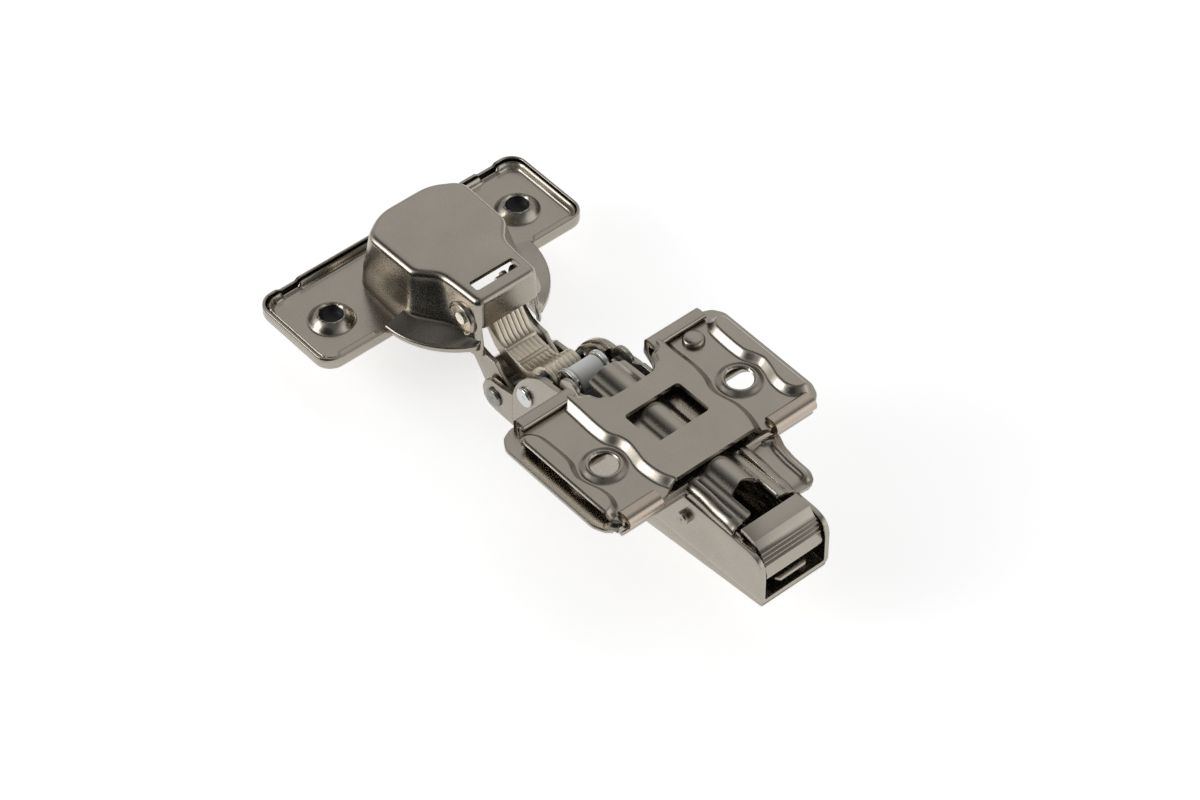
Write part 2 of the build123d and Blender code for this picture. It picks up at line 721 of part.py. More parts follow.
# Roller with its rings, axle, slider and the sprung damper behind it.
with BuildPart() as roller:
    with BuildSketch(Plane.XZ):
        with Locations((roller_x, roller_z)):
            Circle(roller_radius)
            Circle(axle_radius + running_gap, mode=Mode.SUBTRACT)
    extrude(amount=roller_half_width - 2 * running_gap, both=True)
    chamfer(roller.edges().filter_by(GeomType.CIRCLE).group_by(lambda e: e.radius)[-1], length=roller_edge)
roller.part.label = "roller"
export_step(roller.part, "parts/roller.step")

with BuildPart() as roller_rings:
    for side in (1, -1):
        with BuildSketch(Plane.XZ.offset(-side * (roller_half_width + ring_width / 2))):
            with Locations((roller_x, roller_z)):
                Circle(ring_radius)
                Circle(axle_radius, mode=Mode.SUBTRACT)
        extrude(amount=ring_width / 2, both=True)
roller_rings.part.label = "roller_rings"
export_step(roller_rings.part, "parts/roller_rings.step")

with BuildPart() as roller_axle:
    with BuildSketch(Plane.XZ):
        with Locations((roller_x, roller_z)):
            Circle(axle_radius)
    extrude(amount=axle_half_length, both=True)
roller_axle.part.label = "roller_axle"
export_step(roller_axle.part, "parts/roller_axle.step")

slider_floor = web_z(crank_x) + arm_sheet
with BuildPart() as roller_slider:
    with BuildSketch(Plane.XZ):
        with BuildLine():
            Polyline((roller_x - 1.6, roller_z - 1.6), (roller_x - 1.6, roller_z + 0.6),
                     (roller_x, roller_z + 1.8),
                     (-19.6, -7.4), (-17.0, -8.0), (slider_rear, -8.0), (slider_rear, -16.0),
                     (crank_x + 1.0, slider_floor + slide_gap), (-19.0, -14.6), close=True)
        make_face()
        with Locations((roller_x, roller_z)):
            Circle(axle_radius, mode=Mode.SUBTRACT)
    extrude(amount=slider_half_width, both=True)
    with Locations((roller_x, 0, roller_z)):
        Box(2 * (ring_radius + ring_room), 2 * (roller_half_width + ring_width + ring_side_gap),
            2 * (ring_radius + ring_room), mode=Mode.SUBTRACT)
roller_slider.part.label = "roller_slider"
export_step(roller_slider.part, "parts/roller_slider.step")

with BuildPart() as damper_cylinder:
    with BuildSketch(Plane.YZ.offset(damper_front)):
        with Locations((0, damper_z)):
            Circle(damper_radius)
    extrude(amount=damper_length)
damper_cylinder.part.label = "damper_cylinder"
export_step(damper_cylinder.part, "parts/damper_cylinder.step")

with BuildPart() as damper_rod:
    with BuildSketch(Plane.YZ.offset(slider_rear)):
        with Locations((0, damper_z)):
            Circle(damper_rod_radius)
    extrude(amount=damper_front - slider_rear)
damper_rod.part.label = "damper_rod"
export_step(damper_rod.part, "parts/damper_rod.step")

seat_bottom = web_z(seat_rear) + arm_sheet + slide_gap
with BuildPart() as damper_seat:
    with BuildSketch(Plane.XY.offset(seat_bottom)):
        with Locations(((seat_front + seat_rear) / 2, 0)):
            Rectangle(seat_rear - seat_front, seat_width)
    extrude(amount=damper_z - seat_cut - seat_bottom)
    with BuildSketch(Plane.YZ.offset(seat_front - 1.0)):
        with Locations((0, damper_z)):
            Circle(damper_radius)
    extrude(amount=seat_rear - seat_front + 2.0, mode=Mode.SUBTRACT)
damper_seat.part.label = "damper_seat"
export_step(damper_seat.part, "parts/damper_seat.step")

with BuildPart() as closing_spring:
    with BuildLine():
        coil = Helix(closing_pitch, closing_turns * closing_pitch, closing_radius,
                     center=(slider_rear + closing_wire, 0, damper_z),
                     direction=(1, 0, 0))
    with BuildSketch(Plane(origin=coil @ 0, z_dir=coil % 0)):
        Circle(closing_wire)
    sweep(is_frenet=True)
closing_spring.part.label = "closing_spring"
export_step(closing_spring.part, "parts/closing_spring.step")

# Inner link: seven stamped plates side by side, with a raised nose that the roller presses on.
link_top = [(-48.3, -5.9), (-47.1, -7.4), (-46.5, -9.0), (-45.4, -10.6), (-43.9, -12.8), (-42.5, -13.8),
            (-41.2, -14.2),
            (-38.6, -14.6), (-36.6, -14.7), (-35.2, -14.0), (-33.8, -11.8), (-32.4, -10.3), (-31.0, -9.9),
            (-29.4, -10.3), (-28.0, -11.6), (-27.4, -13.2)]
link_bottom = [(-27.6, -15.6), (-29.2, -17.6), (-31.4, -18.2), (-34.5, -17.9), (-38.0, -17.7),
               (-42.5, -17.4),
               (-45.6, -15.2), (-48.2, -11.6), (-51.2, -10.1), (-52.2, -8.4), (-51.9, -6.6), (-50.6, -5.5),
               (-49.0, -5.4)]
with BuildPart() as inner_link:
    for number in range(lamina_count):
        lamina_y = (number - (lamina_count - 1) / 2) * lamina_pitch
        with BuildSketch(Plane.XZ.offset(-lamina_y)):
            with BuildLine():
                Polyline(*link_top, *link_bottom, close=True)
            make_face()
            with Locations(upper_pivot):
                Circle(upper_pin_radius + running_gap, mode=Mode.SUBTRACT)
            with Locations(cup_pivot):
                Circle(cup_pin_radius + running_gap, mode=Mode.SUBTRACT)
            with Locations(rivet_place):
                Circle(rivet_radius, mode=Mode.SUBTRACT)
        extrude(amount=(lamina_pitch - lamina_gap) / 2, both=True)
inner_link.part.label = "inner_link"
export_step(inner_link.part, "parts/inner_link.step")

with BuildPart() as link_rivet:
    with BuildSketch(Plane.XZ):
        with Locations(rivet_place):
            Circle(rivet_radius)
    extrude(amount=rivet_half_length, both=True)
link_rivet.part.label = "link_rivet"
export_step(link_rivet.part, "parts/link_rivet.step")

# Outer link: a U channel from the lower pivot up into the cup.
outer_profile = [
    (-37.1, -22.4), (-37.2, -19.6), (-38.7, -18.5), (-40.6, -17.2), (-42.2, -15.4), (-44.6, -15.2),
    (-46.4, -14.7),
    (-48.6, -12.9), (-53.3, -8.8), (-54.4, -8.5), (-55.2, -9.2), (-55.2, -10.2), (-52.4, -13.4),
    (-49.2, -17.2),
    (-47.9, -18.6),
    (-45.4, -22.0), (-43.2, -24.4), (-41.0, -25.2), (-38.6, -24.6),
]
outer_hollow = [
    (-30.0, -22.4), (-40.2, -25.6), (-42.4, -23.8), (-44.5, -21.3), (-46.2, -19.2), (-50.0, -22.0),
    (-60.0, -14.0),
    (-60.0, -5.0), (-40.0, 0.0),
]
with BuildPart() as outer_link:
    with BuildSketch(Plane.XZ):
        with BuildLine():
            Polyline(*outer_profile, close=True)
        make_face()
        with Locations(lower_pivot):
            Circle(lower_pin_radius + running_gap, mode=Mode.SUBTRACT)
        with Locations(hidden_pivot):
            Circle(hidden_pin_radius, mode=Mode.SUBTRACT)
    extrude(amount=outer_link_half_width, both=True)
    with BuildSketch(Plane.XZ):
        with BuildLine():
            Polyline(*outer_hollow, close=True)
        make_face()
    extrude(amount=outer_link_half_width - outer_link_sheet, both=True, mode=Mode.SUBTRACT)
outer_link.part.label = "outer_link"
export_step(outer_link.part, "parts/outer_link.step")

with BuildPart() as outer_link_pin:
    for side in (1, -1):
        with BuildSketch(Plane.XZ.offset(-side * (hidden_pin_inner + outer_link_half_width) / 2)):
            with Locations(hidden_pivot):
                Circle(hidden_pin_radius)
        extrude(amount=(outer_link_half_width - hidden_pin_inner) / 2, both=True)
outer_link_pin.part.label = "outer_link_pin"
export_step(outer_link_pin.part, "parts/outer_link_pin.step")

with BuildPart() as cup_pin:
    with BuildSketch(Plane.XZ):
        with Locations(cup_pivot):
            Circle(cup_pin_radius)
    extrude(amount=neck_half_width + cup_pin_reach, both=True)
cup_pin.part.label = "cup_pin"
export_step(cup_pin.part, "parts/cup_pin.step")

# Cup: pot, flange disc and wing tray drawn from one sheet. The outlines are measured from the cup's centre.
top_outline = [(-15.4, 0), (-15.3, 4.6), (-13.7, 8.6), (-10.9, 10.4), (-5.9, 11.0), (0.0, 11.1), (2.5, 9.8),
               (4.9, 7.4), (15.0, 7.3), (15.0, 0)]
base_outline = [(-16.7, 0), (-16.6, 5.6), (-15.6, 9.6), (-12.0, 13.2), (-6.0, 14.0), (1.5, 14.0),
                (5.0, 11.0),
                (8.0, neck_half_width + 0.2), (15.6, neck_half_width), (15.6, 0)]


def cup_ring(points, shrink):
    """A cup outline moved inwards by a wall, placed at the cup's centre."""
    inner = []
    for u, v in points:
        length = math.hypot(u, v)
        inner.append((cup_x + u * (1 - shrink / length), v * (1 - shrink / length)))
    return mirrored(inner)


with BuildPart() as cup:
    # Flange disc and its skirt, on the side of the arm
    with BuildSketch(Plane.XY.offset(door_plane - disc_drop)):
        with Locations((cup_x, 0)):
            Circle(disc_radius)
    extrude(amount=disc_height)
    with BuildSketch(Plane.XY.offset(disc_top)):
        with Locations((cup_x, 0)):
            Circle(disc_radius - 0.2)
    with BuildSketch(Plane.XY.offset(base_z)):
        with Locations((cup_x, 0)):
            Circle(disc_radius - 2.4)
    loft()
    split(bisect_by=Plane.YZ.offset(tray_near), keep=Keep.TOP)
    # Wing tray
    with BuildSketch(Plane.XY.offset(tray_floor - tray_sheet)):
        with Locations(((tray_far + tray_near) / 2, 0)):
            RectangleRounded(tray_near - tray_far, 2 * tray_half_length, tray_corner)
    extrude(amount=tray_rim_top - tray_floor + tray_sheet)
    with BuildSketch(Plane.XY.offset(tray_floor)):
        with Locations(((tray_far + tray_near) / 2, 0)):
            RectangleRounded(tray_near - tray_far - 2 * tray_rim, 2 * (tray_half_length - tray_rim),
                             tray_corner - tray_rim)
    extrude(amount=outside, mode=Mode.SUBTRACT)
    # Pot
    with BuildSketch(Plane.XY.offset(tray_floor - tray_sheet)):
        with BuildLine():
            Polyline(*cup_ring(base_outline, 0.0), close=True)
        make_face()
    extrude(amount=base_z - tray_floor + tray_sheet)
    with BuildSketch(Plane.XY.offset(base_z)):
        with BuildLine():
            Polyline(*cup_ring(base_outline, 0.0), close=True)
        make_face()
    with BuildSketch(Plane.XY.offset(cup_top)):
        with BuildLine():
            Polyline(*cup_ring(top_outline, 0.0), close=True)
        make_face()
    loft(ruled=True)
    fillet(cup.faces().sort_by(Axis.Z)[-1].edges(), radius=top_edge_radius)
    # Domes round the wing screws: hollow balls, cut off by the floor
    with Locations((wing_screw_x, 0, dome_centre)):
        with GridLocations(0, wing_screw_spacing, 1, 2):
            Sphere(dome_ball_radius)
    with Locations((wing_screw_x, 0, tray_floor - tray_sheet)):
        Box(3 * dome_radius, 2 * outside, 10, align=(Align.CENTER, Align.CENTER, Align.MAX),
            mode=Mode.SUBTRACT)
    with Locations((wing_screw_x, 0, dome_centre)):
        with GridLocations(0, wing_screw_spacing, 1, 2):
            Sphere(dome_ball_radius - tray_sheet, mode=Mode.SUBTRACT)
            Cylinder(wing_screw_radius, 4 * outside, mode=Mode.SUBTRACT)
    # Hollow of the pot, open towards the door's face
    with BuildSketch(Plane.XY.offset(door_plane - 10)):
        with BuildLine():
            Polyline(*cup_ring(base_outline, cup_sheet * 1.1), close=True)
        make_face()
    extrude(amount=skirt_height + 10, mode=Mode.SUBTRACT)
    with BuildSketch(Plane.XY.offset(base_z - 0.01)):
        with BuildLine():
            Polyline(*cup_ring(base_outline, cup_sheet * 1.1), close=True)
        make_face()
    with BuildSketch(Plane.XY.offset(cup_top - cup_sheet)):
        with BuildLine():
            Polyline(*cup_ring(top_outline, cup_sheet * 1.1), close=True)
        make_face()
    loft(ruled=True, mode=Mode.SUBTRACT)
    # Underside of the disc, mouth for the links, slot and pin holes
    with BuildSketch(Plane.XY.offset(door_plane - 10)):
        with Locations((cup_x, 0)):
            Circle(disc_radius - cup_sheet)
        with Locations((tray_near - outside / 2, 0)):
            Rectangle(outside, 2 * outside, mode=Mode.SUBTRACT)
    extrude(amount=disc_top - cup_sheet - door_plane + 10, mode=Mode.SUBTRACT)
    with BuildSketch(Plane.XZ):
        with BuildLine():
            Polyline((mouth_x - mouth_depth, front_wall_bottom), (-outside, front_wall_bottom),
                     (-outside, -40),
                     (mouth_x - mouth_depth, -40), close=True)
        make_face()
    extrude(amount=neck_half_width - cup_sheet, both=True, mode=Mode.SUBTRACT)
    with BuildSketch(Plane.XY.offset(-40)):
        with Locations((mouth_x + 10, 0)):
            Rectangle(20, 60)
    extrude(amount=60, mode=Mode.SUBTRACT)
    with BuildSketch(Plane.XY.offset(cup_top - 5)):
        with Locations(((slot_front + slot_rear) / 2, 0)):
            Rectangle(slot_rear - slot_front, 2 * slot_half_length)
    extrude(amount=10, mode=Mode.SUBTRACT)
    with BuildSketch(Plane.XZ):
        with Locations(cup_pivot):
            Circle(cup_pin_radius)
    extrude(amount=2 * neck_half_width, both=True, mode=Mode.SUBTRACT)
cup.part.label = "cup"
export_step(cup.part, "parts/cup.step")

# Wing cover: a thin tray under the wings, its rim crimped over the near edge.
with BuildPart() as wing_cover:
    with BuildSketch(Plane.XY.offset(cover_bottom)):
        with Locations(((wing_far + wing_near) / 2, 0)):
            RectangleRounded(wing_near - wing_far, 2 * wing_half_length, wing_corner)
    extrude(amount=door_plane - cover_bottom)
    chamfer(wing_cover.faces().sort_by(Axis.Z)[0].edges(), length=cover_edge)
    with BuildSketch(Plane.XY.offset(tray_floor - tray_sheet)):
        with Locations(((wing_far + wing_near) / 2, 0)):
            RectangleRounded(wing_near - wing_far - 2 * cover_sheet, 2 * (wing_half_length - cover_sheet),
                             wing_corner - cover_sheet)
    extrude(amount=10, mode=Mode.SUBTRACT)
    with Locations((wing_near, 0, tray_floor)):
        Box(2.4, 2 * (disc_radius + side_gap), 4, mode=Mode.SUBTRACT)
    for side in (1, -1):
        with Locations((wing_near - cover_crimp_width / 2, side * cover_crimp_y, door_plane)):
            Box(cover_crimp_width, cover_crimp_length, cover_crimp_depth,
                align=(Align.CENTER, Align.CENTER, Align.MAX))
    with BuildSketch(Plane.XY.offset(cover_bottom - 1)):
        with BuildLine():
            Polyline(*cup_ring(base_outline, cup_sheet * 1.1), close=True)
        make_face()
        with Locations((wing_screw_x, 0)):
            with GridLocations(0, wing_screw_spacing, 1, 2):
                Circle(cover_hole_radius)
    extrude(amount=outside, mode=Mode.SUBTRACT)
wing_cover.part.label = "wing_cover"
export_step(wing_cover.part, "parts/wing_cover.step")
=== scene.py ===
"""Dresses the concealed cabinet hinge: its pressed sheets, folded edges, links and plated finishes.

Every shape is worked out in millimetres in the hinge's own frame, and turned to metres when its mesh is made.
"""
import json
import math

import bmesh
import bpy
import numpy as np
from mathutils import Matrix, Vector


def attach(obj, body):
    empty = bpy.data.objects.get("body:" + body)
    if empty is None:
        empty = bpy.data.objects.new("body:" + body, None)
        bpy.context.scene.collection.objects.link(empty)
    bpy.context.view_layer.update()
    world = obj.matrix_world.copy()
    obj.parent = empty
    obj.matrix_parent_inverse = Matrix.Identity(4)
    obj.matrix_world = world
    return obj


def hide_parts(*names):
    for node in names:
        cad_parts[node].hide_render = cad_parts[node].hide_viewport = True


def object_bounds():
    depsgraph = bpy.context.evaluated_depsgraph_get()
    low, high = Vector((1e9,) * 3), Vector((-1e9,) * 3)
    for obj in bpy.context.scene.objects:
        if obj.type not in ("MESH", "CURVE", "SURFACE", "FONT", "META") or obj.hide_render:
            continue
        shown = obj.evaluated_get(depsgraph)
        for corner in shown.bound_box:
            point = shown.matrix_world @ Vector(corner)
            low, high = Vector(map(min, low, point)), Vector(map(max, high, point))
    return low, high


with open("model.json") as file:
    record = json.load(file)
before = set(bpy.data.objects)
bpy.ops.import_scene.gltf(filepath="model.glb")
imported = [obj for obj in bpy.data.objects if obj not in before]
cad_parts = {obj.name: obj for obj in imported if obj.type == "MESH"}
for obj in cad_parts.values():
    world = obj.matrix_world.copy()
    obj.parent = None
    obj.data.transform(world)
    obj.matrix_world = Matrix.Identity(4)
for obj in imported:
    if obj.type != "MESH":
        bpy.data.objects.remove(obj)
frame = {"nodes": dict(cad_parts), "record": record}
cad_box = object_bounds()
MM = 0.001


# Curves and outlines

def smooth_line(points, per_span=8, closed=True):
    """Centripetal Catmull-Rom curve: knots stand apart by the square root of each chord.

    Every point is mixed three times from its four neighbours, in proportion to its place between their knots.
    """
    p = np.asarray(points, float)
    p = np.vstack([p[-1:], p, p[:2]]) if closed else np.vstack([2 * p[:1] - p[1:2], p, 2 * p[-1:] - p[-2:-1]])
    knots = np.concatenate([[0], np.cumsum(np.sqrt(np.linalg.norm(np.diff(p, axis=0), axis=1)))])
    k = [knots[i:len(knots) - 3 + i] for i in range(4)]
    t = (k[1] + (k[2] - k[1]) * np.linspace(0, 1, per_span, endpoint=False)[:, None])[..., None]
    k = [v[None, :, None] for v in k]
    q = [p[i:len(p) - 3 + i] for i in range(4)]

    def mix(a, b, low, high):
        return ((high - t) * a + (t - low) * b) / (high - low)

    first = [mix(q[i], q[i + 1], k[i], k[i + 1]) for i in range(3)]
    second = [mix(first[i], first[i + 1], k[i], k[i + 2]) for i in range(2)]
    line = mix(second[0], second[1], k[1], k[2]).transpose(1, 0, 2).reshape(-1, p.shape[1])
    return line if closed else np.vstack([line, p[-2:-1]])


def soften(points, radius, steps=6, closed=True):
    """Each corner becomes a quadratic curve: (1 - t)^2 start + 2 t (1 - t) corner + t^2 end.

    It starts and ends a radius from the corner, or at 0.45 of the shorter edge where that is less.
    """
    p = np.asarray(points, float)
    before, after = np.roll(p, 1, 0) - p, np.roll(p, -1, 0) - p
    lengths = [np.linalg.norm(v, axis=1, keepdims=True) for v in (before, after)]
    reach = np.minimum(np.broadcast_to(np.reshape(radius, (-1, 1)), (len(p), 1)), 0.45 * np.minimum(*lengths))
    if not closed:
        reach = reach.copy()
        reach[[0, -1]] = 0
    start, end = p + before / lengths[0] * reach, p + after / lengths[1] * reach
    t = np.linspace(0, 1, steps)[:, None, None]
    curve = (1 - t)**2 * start + 2 * t * (1 - t) * p + t**2 * end
    curve = curve.transpose(1, 0, 2)
    if closed:
        return curve.reshape(-1, p.shape[1])
    return np.vstack([p[:1], curve[1:-1].reshape(-1, p.shape[1]), p[-1:]])


def both_sides(points):
    """An outline of one side, followed by its mirror image in the X axis."""
    p = np.asarray(points, float)
    return np.vstack([p, (p[p[:, 1] != 0] * [1, -1])[::-1]])


def ring(x, y, radius, count=48):
    """A circle: x + r cos a, y + r sin a."""
    a = np.linspace(0, 2 * np.pi, count, endpoint=False)
    return np.stack([x + radius * np.cos(a), y + radius * np.sin(a)], 1)


def slot_outline(x, y, half_x, half_y, corner, count=8):
    """A rectangle with round corners, each a quarter circle."""
    a = np.linspace(0, np.pi / 2, count)
    quarters = []
    for side_x, side_y, start in ((1, 1, 0), (-1, 1, np.pi / 2), (-1, -1, np.pi), (1, -1, 1.5 * np.pi)):
        across = side_x * (half_x - corner) + corner * np.cos(a + start)
        along = side_y * (half_y - corner) + corner * np.sin(a + start)
        quarters.append(np.stack([across, along], 1))
    return np.vstack(quarters) + [x, y]


def fine_outline(outline, spacing, count=0):
    """The same closed outline with points at an even spacing, or with a given number of points."""
    closed = np.vstack([outline, outline[:1]])
    run = np.concatenate([[0], np.cumsum(np.linalg.norm(np.diff(closed, axis=0), axis=1))])
    at = np.linspace(0, run[-1], count or int(run[-1] / spacing), endpoint=False)
    return np.stack([np.interp(at, run, closed[:, k]) for k in (0, 1)], 1)


def nearest(outline, x, y):
    """Signed distance to a closed outline, positive inside, and the nearest point on it.

    The nearest point of each edge is the foot of the perpendicular, kept between the edge's ends. The sign
    comes from counting the edges that a ray in +X crosses.
    """
    a = np.asarray(outline, float)
    b = np.roll(a, -1, 0)
    d = b - a
    flat = np.stack([x.ravel(), y.ravel()], 1)
    best = np.empty(len(flat))
    foot = np.empty_like(flat)
    crossed = np.empty(len(flat), bool)
    for part in np.array_split(np.arange(len(flat)), max(1, len(flat) * len(a) // 2_000_000)):
        v = flat[part, None, :] - a
        t = np.clip((v * d).sum(2) / np.maximum((d * d).sum(1), 1e-12), 0, 1)
        gap = v - t[..., None] * d
        dist = np.hypot(gap[..., 0], gap[..., 1])
        k = dist.argmin(1)
        best[part] = dist[np.arange(len(part)), k]
        foot[part] = a[k] + t[np.arange(len(part)), k, None] * d[k]
        yy = flat[part, 1:2]
        spans = (a[:, 1] > yy) != (b[:, 1] > yy)
        with np.errstate(divide="ignore", invalid="ignore"):
            hit = a[:, 0] + (yy - a[:, 1]) / d[:, 1] * d[:, 0]
        crossed[part] = (spans & (flat[part, 0:1] < hit)).sum(1) % 2 == 1
    signed = np.where(crossed, best, -best).reshape(x.shape)
    return signed, foot[:, 0].reshape(x.shape), foot[:, 1].reshape(x.shape)


def rise(distance, width, ease=0.5):
    """A pressed flank from 0 to 1 over the width, with both ends rounded.

    A straight ramp is averaged over a window of twice the ease. With G(t) the integral of the ramp, it is
    (G(t + e) - G(t - e)) / 2e.
    """
    t = distance / width * (1 + 2 * ease) - ease
    low, high = (np.where(v < 0, 0, np.where(v < 1, v * v / 2, v - 0.5)) for v in (t - ease, t + ease))
    return (high - low) / (2 * ease)


# Meshes

def make_mesh(name, points, faces, material=None):
    """A mesh object from points in millimetres and faces of point numbers, shaded smooth."""
    mesh = bpy.data.meshes.new(name)
    face_list = faces if isinstance(faces, list) else np.asarray(faces).tolist()
    mesh.from_pydata((np.asarray(points, float) * MM).tolist(), [], face_list)
    mesh.polygons.foreach_set("use_smooth", np.ones(len(mesh.polygons), bool))
    mesh.update()
    piece = bpy.data.objects.new(name, mesh)
    bpy.context.scene.collection.objects.link(piece)
    if material:
        mesh.materials.append(material)
    return piece


def grid_faces(rows, columns, wrap_rows=False, wrap_columns=False):
    """Four-sided faces of a grid of points, numbered row by row."""
    r = np.arange(rows if wrap_rows else rows - 1)[:, None]
    c = np.arange(columns if wrap_columns else columns - 1)[None, :]
    r2, c2 = (r + 1) % rows, (c + 1) % columns
    corners = [r * columns + c, r2 * columns + c, r2 * columns + c2, r * columns + c2]
    return np.stack(corners, -1).reshape(-1, 4)


def surface(name, points, material=None, wrap_rows=False, wrap_columns=False, flip=False):
    """A grid of points (rows, columns, 3) as a mesh."""
    rows, columns = points.shape[:2]
    faces = grid_faces(rows, columns, wrap_rows, wrap_columns)
    return make_mesh(name, points.reshape(-1, 3), faces[:, ::-1] if flip else faces, material)


def pressed_sheet(name, outline, holes, height, spacing, material=None):
    """A pressed sheet's upper face: z = height(x, y) on a square grid, kept where a square's centre is in it.

    A point on the border of what is kept moves to the nearest point of the outline or of a hole.
    """
    low, high = outline.min(0) - spacing, outline.max(0) + spacing
    nx, ny = (np.ceil((high - low) / spacing).astype(int) + 1)
    x, y = np.meshgrid(low[0] + spacing * np.arange(nx), low[1] + spacing * np.arange(ny), indexing="ij")
    loops = [(1, outline)] + [(-1, h) for h in holes]

    def inside(px, py):
        found = [(s * n[0], n[1], n[2]) for s, loop in loops for n in [nearest(loop, px, py)]]
        depth = np.stack([f[0] for f in found])
        k = np.abs(depth).argmin(0)
        pick = [np.take_along_axis(np.stack([f[i] for f in found]), k[None], 0)[0] for i in (1, 2)]
        return depth.min(0), pick[0], pick[1]

    centre = inside(x[:-1, :-1] + spacing / 2, y[:-1, :-1] + spacing / 2)[0] > 0
    uses = np.zeros((nx, ny), int)
    for dx, dy in ((0, 0), (1, 0), (0, 1), (1, 1)):
        uses[dx:nx - 1 + dx, dy:ny - 1 + dy] += centre
    border = (uses > 0) & (uses < 4)
    _, fx, fy = inside(x[border], y[border])
    x[border], y[border] = fx, fy
    points = np.stack([x, y, height(x, y)], -1).reshape(-1, 3)
    i, j = np.nonzero(centre)
    quads = np.stack([i * ny + j, (i + 1) * ny + j, (i + 1) * ny + j + 1, i * ny + j + 1], 1)
    used, quads = np.unique(quads, return_inverse=True)
    return make_mesh(name, points[used], quads.reshape(-1, 4), material)


def prism(name, outline, axis, low, high, material=None):
    """An outline in the XZ plane (axis 1) or XY plane (axis 2), carried from low to high along that axis."""
    p = np.asarray(outline, float)
    layers = []
    for level in (low, high):
        filled = np.full((len(p), 3), level, float)
        filled[:, [0, 2] if axis == 1 else [0, 1]] = p
        layers.append(filled)
    n = len(p)
    k = np.arange(n)
    faces = np.stack([k, (k + 1) % n, (k + 1) % n + n, k + n], 1).tolist()
    faces += [list(range(n))[::-1], list(range(n, 2 * n))]
    piece = make_mesh(name, np.vstack(layers), faces, material)
    recalculate(piece)
    return piece


def recalculate(piece):
    """Merges doubled points and turns the faces of a closed piece outwards."""
    bm = bmesh.new()
    bm.from_mesh(piece.data)
    bmesh.ops.remove_doubles(bm, verts=bm.verts, dist=1e-6)
    bmesh.ops.recalc_face_normals(bm, faces=bm.faces)
    bm.to_mesh(piece.data)
    bm.free()
    piece.data.update()


def lathe(name, profile, centre, axis, material=None, count=48):
    """A profile of (radius, height) turned round an axis through the centre: r cos a, r sin a, h."""
    r, h = np.asarray(profile, float).T
    a = np.linspace(0, 2 * np.pi, count, endpoint=False)
    height = np.broadcast_to(h[:, None], (len(r), count))
    local = np.stack([r[:, None] * np.cos(a), r[:, None] * np.sin(a), height], -1)
    order = {0: [2, 0, 1], 1: [1, 2, 0], 2: [0, 1, 2]}[axis]
    piece = surface(name, local[..., order] + np.asarray(centre, float), material, wrap_columns=True)
    recalculate(piece)
    return piece


def finish_mesh(piece, *modifiers):
    """Adds modifiers given as (type, settings) and applies them to the mesh, so that it is final."""
    for kind, settings in modifiers:
        modifier = piece.modifiers.new(kind.lower(), kind)
        for key, value in settings.items():
            setattr(modifier, key, value)
    bpy.context.view_layer.update()
    evaluated = piece.evaluated_get(bpy.context.evaluated_depsgraph_get())
    mesh = bpy.data.meshes.new_from_object(evaluated)
    piece.modifiers.clear()
    piece.data = mesh
    return piece


def thick(sheet_mm, offset=-1, even=True):
    """The modifier that gives a surface its thickness, behind its faces (-1) or in front of them (1)."""
    return ("SOLIDIFY", {"thickness": sheet_mm * MM, "offset": offset, "use_even_offset": even})


def eased(width_mm, angle=40, segments=2):
    """The modifier that rounds every edge sharper than the angle."""
    return ("BEVEL", {"width": width_mm * MM, "segments": segments, "limit_method": "ANGLE",
                      "angle_limit": math.radians(angle), "harden_normals": False})


def cut(piece, *cutters):
    """Takes closed cutters out of a closed piece."""
    for cutter in cutters:
        finish_mesh(piece, ("BOOLEAN", {"object": cutter, "operation": "DIFFERENCE", "solver": "EXACT"}))
        bpy.data.objects.remove(cutter)
    return piece


def join(name, pieces):
    """Several meshes as one object."""
    with bpy.context.temp_override(active_object=pieces[0], selected_editable_objects=pieces):
        bpy.ops.object.join()
    pieces[0].name = name
    pieces[0].data.name = name
    return pieces[0]


def crisp(piece, angle=35):
    """Shades faces smooth and keeps edges sharper than the angle crisp."""
    piece.data.polygons.foreach_set("use_smooth", np.ones(len(piece.data.polygons), bool))
    piece.data.set_sharp_from_angle(angle=math.radians(angle))
    return piece


# Materials

def hex_linear(code):
    """An sRGB hex colour as linear light: c / 12.92 below 0.04045, else ((c + 0.055) / 1.055) to the 2.4."""
    c = np.array([int(code[i:i + 2], 16) for i in (1, 3, 5)]) / 255
    linear = np.where(c <= 0.04045, c / 12.92, ((c + 0.055) / 1.055)**2.4)
    return (*linear.tolist(), 1.0)


def add_node(tree, kind, settings=None, **inputs):
    """Adds one node. Each input is a socket's name, or i with its number, and a value or a node's output."""
    node = tree.nodes.new(kind)
    for key, value in (settings or {}).items():
        setattr(node, key, value)
    for key, value in inputs.items():
        numbered = key[0] == "i" and key[1:].isdigit()
        socket = node.inputs[int(key[1:]) if numbered else key.replace("_", " ")]
        if isinstance(value, bpy.types.NodeSocket):
            tree.links.new(value, socket)
        else:
            socket.default_value = value
    return node


def shader_material(name):
    """An empty node material with its output and principled shader."""
    material = bpy.data.materials.new(name)
    material.use_nodes = True
    tree = material.node_tree
    tree.nodes.clear()
    shader = add_node(tree, "ShaderNodeBsdfPrincipled")
    output = add_node(tree, "ShaderNodeOutputMaterial")
    tree.links.new(shader.outputs[0], output.inputs[0])
    return material, tree, shader


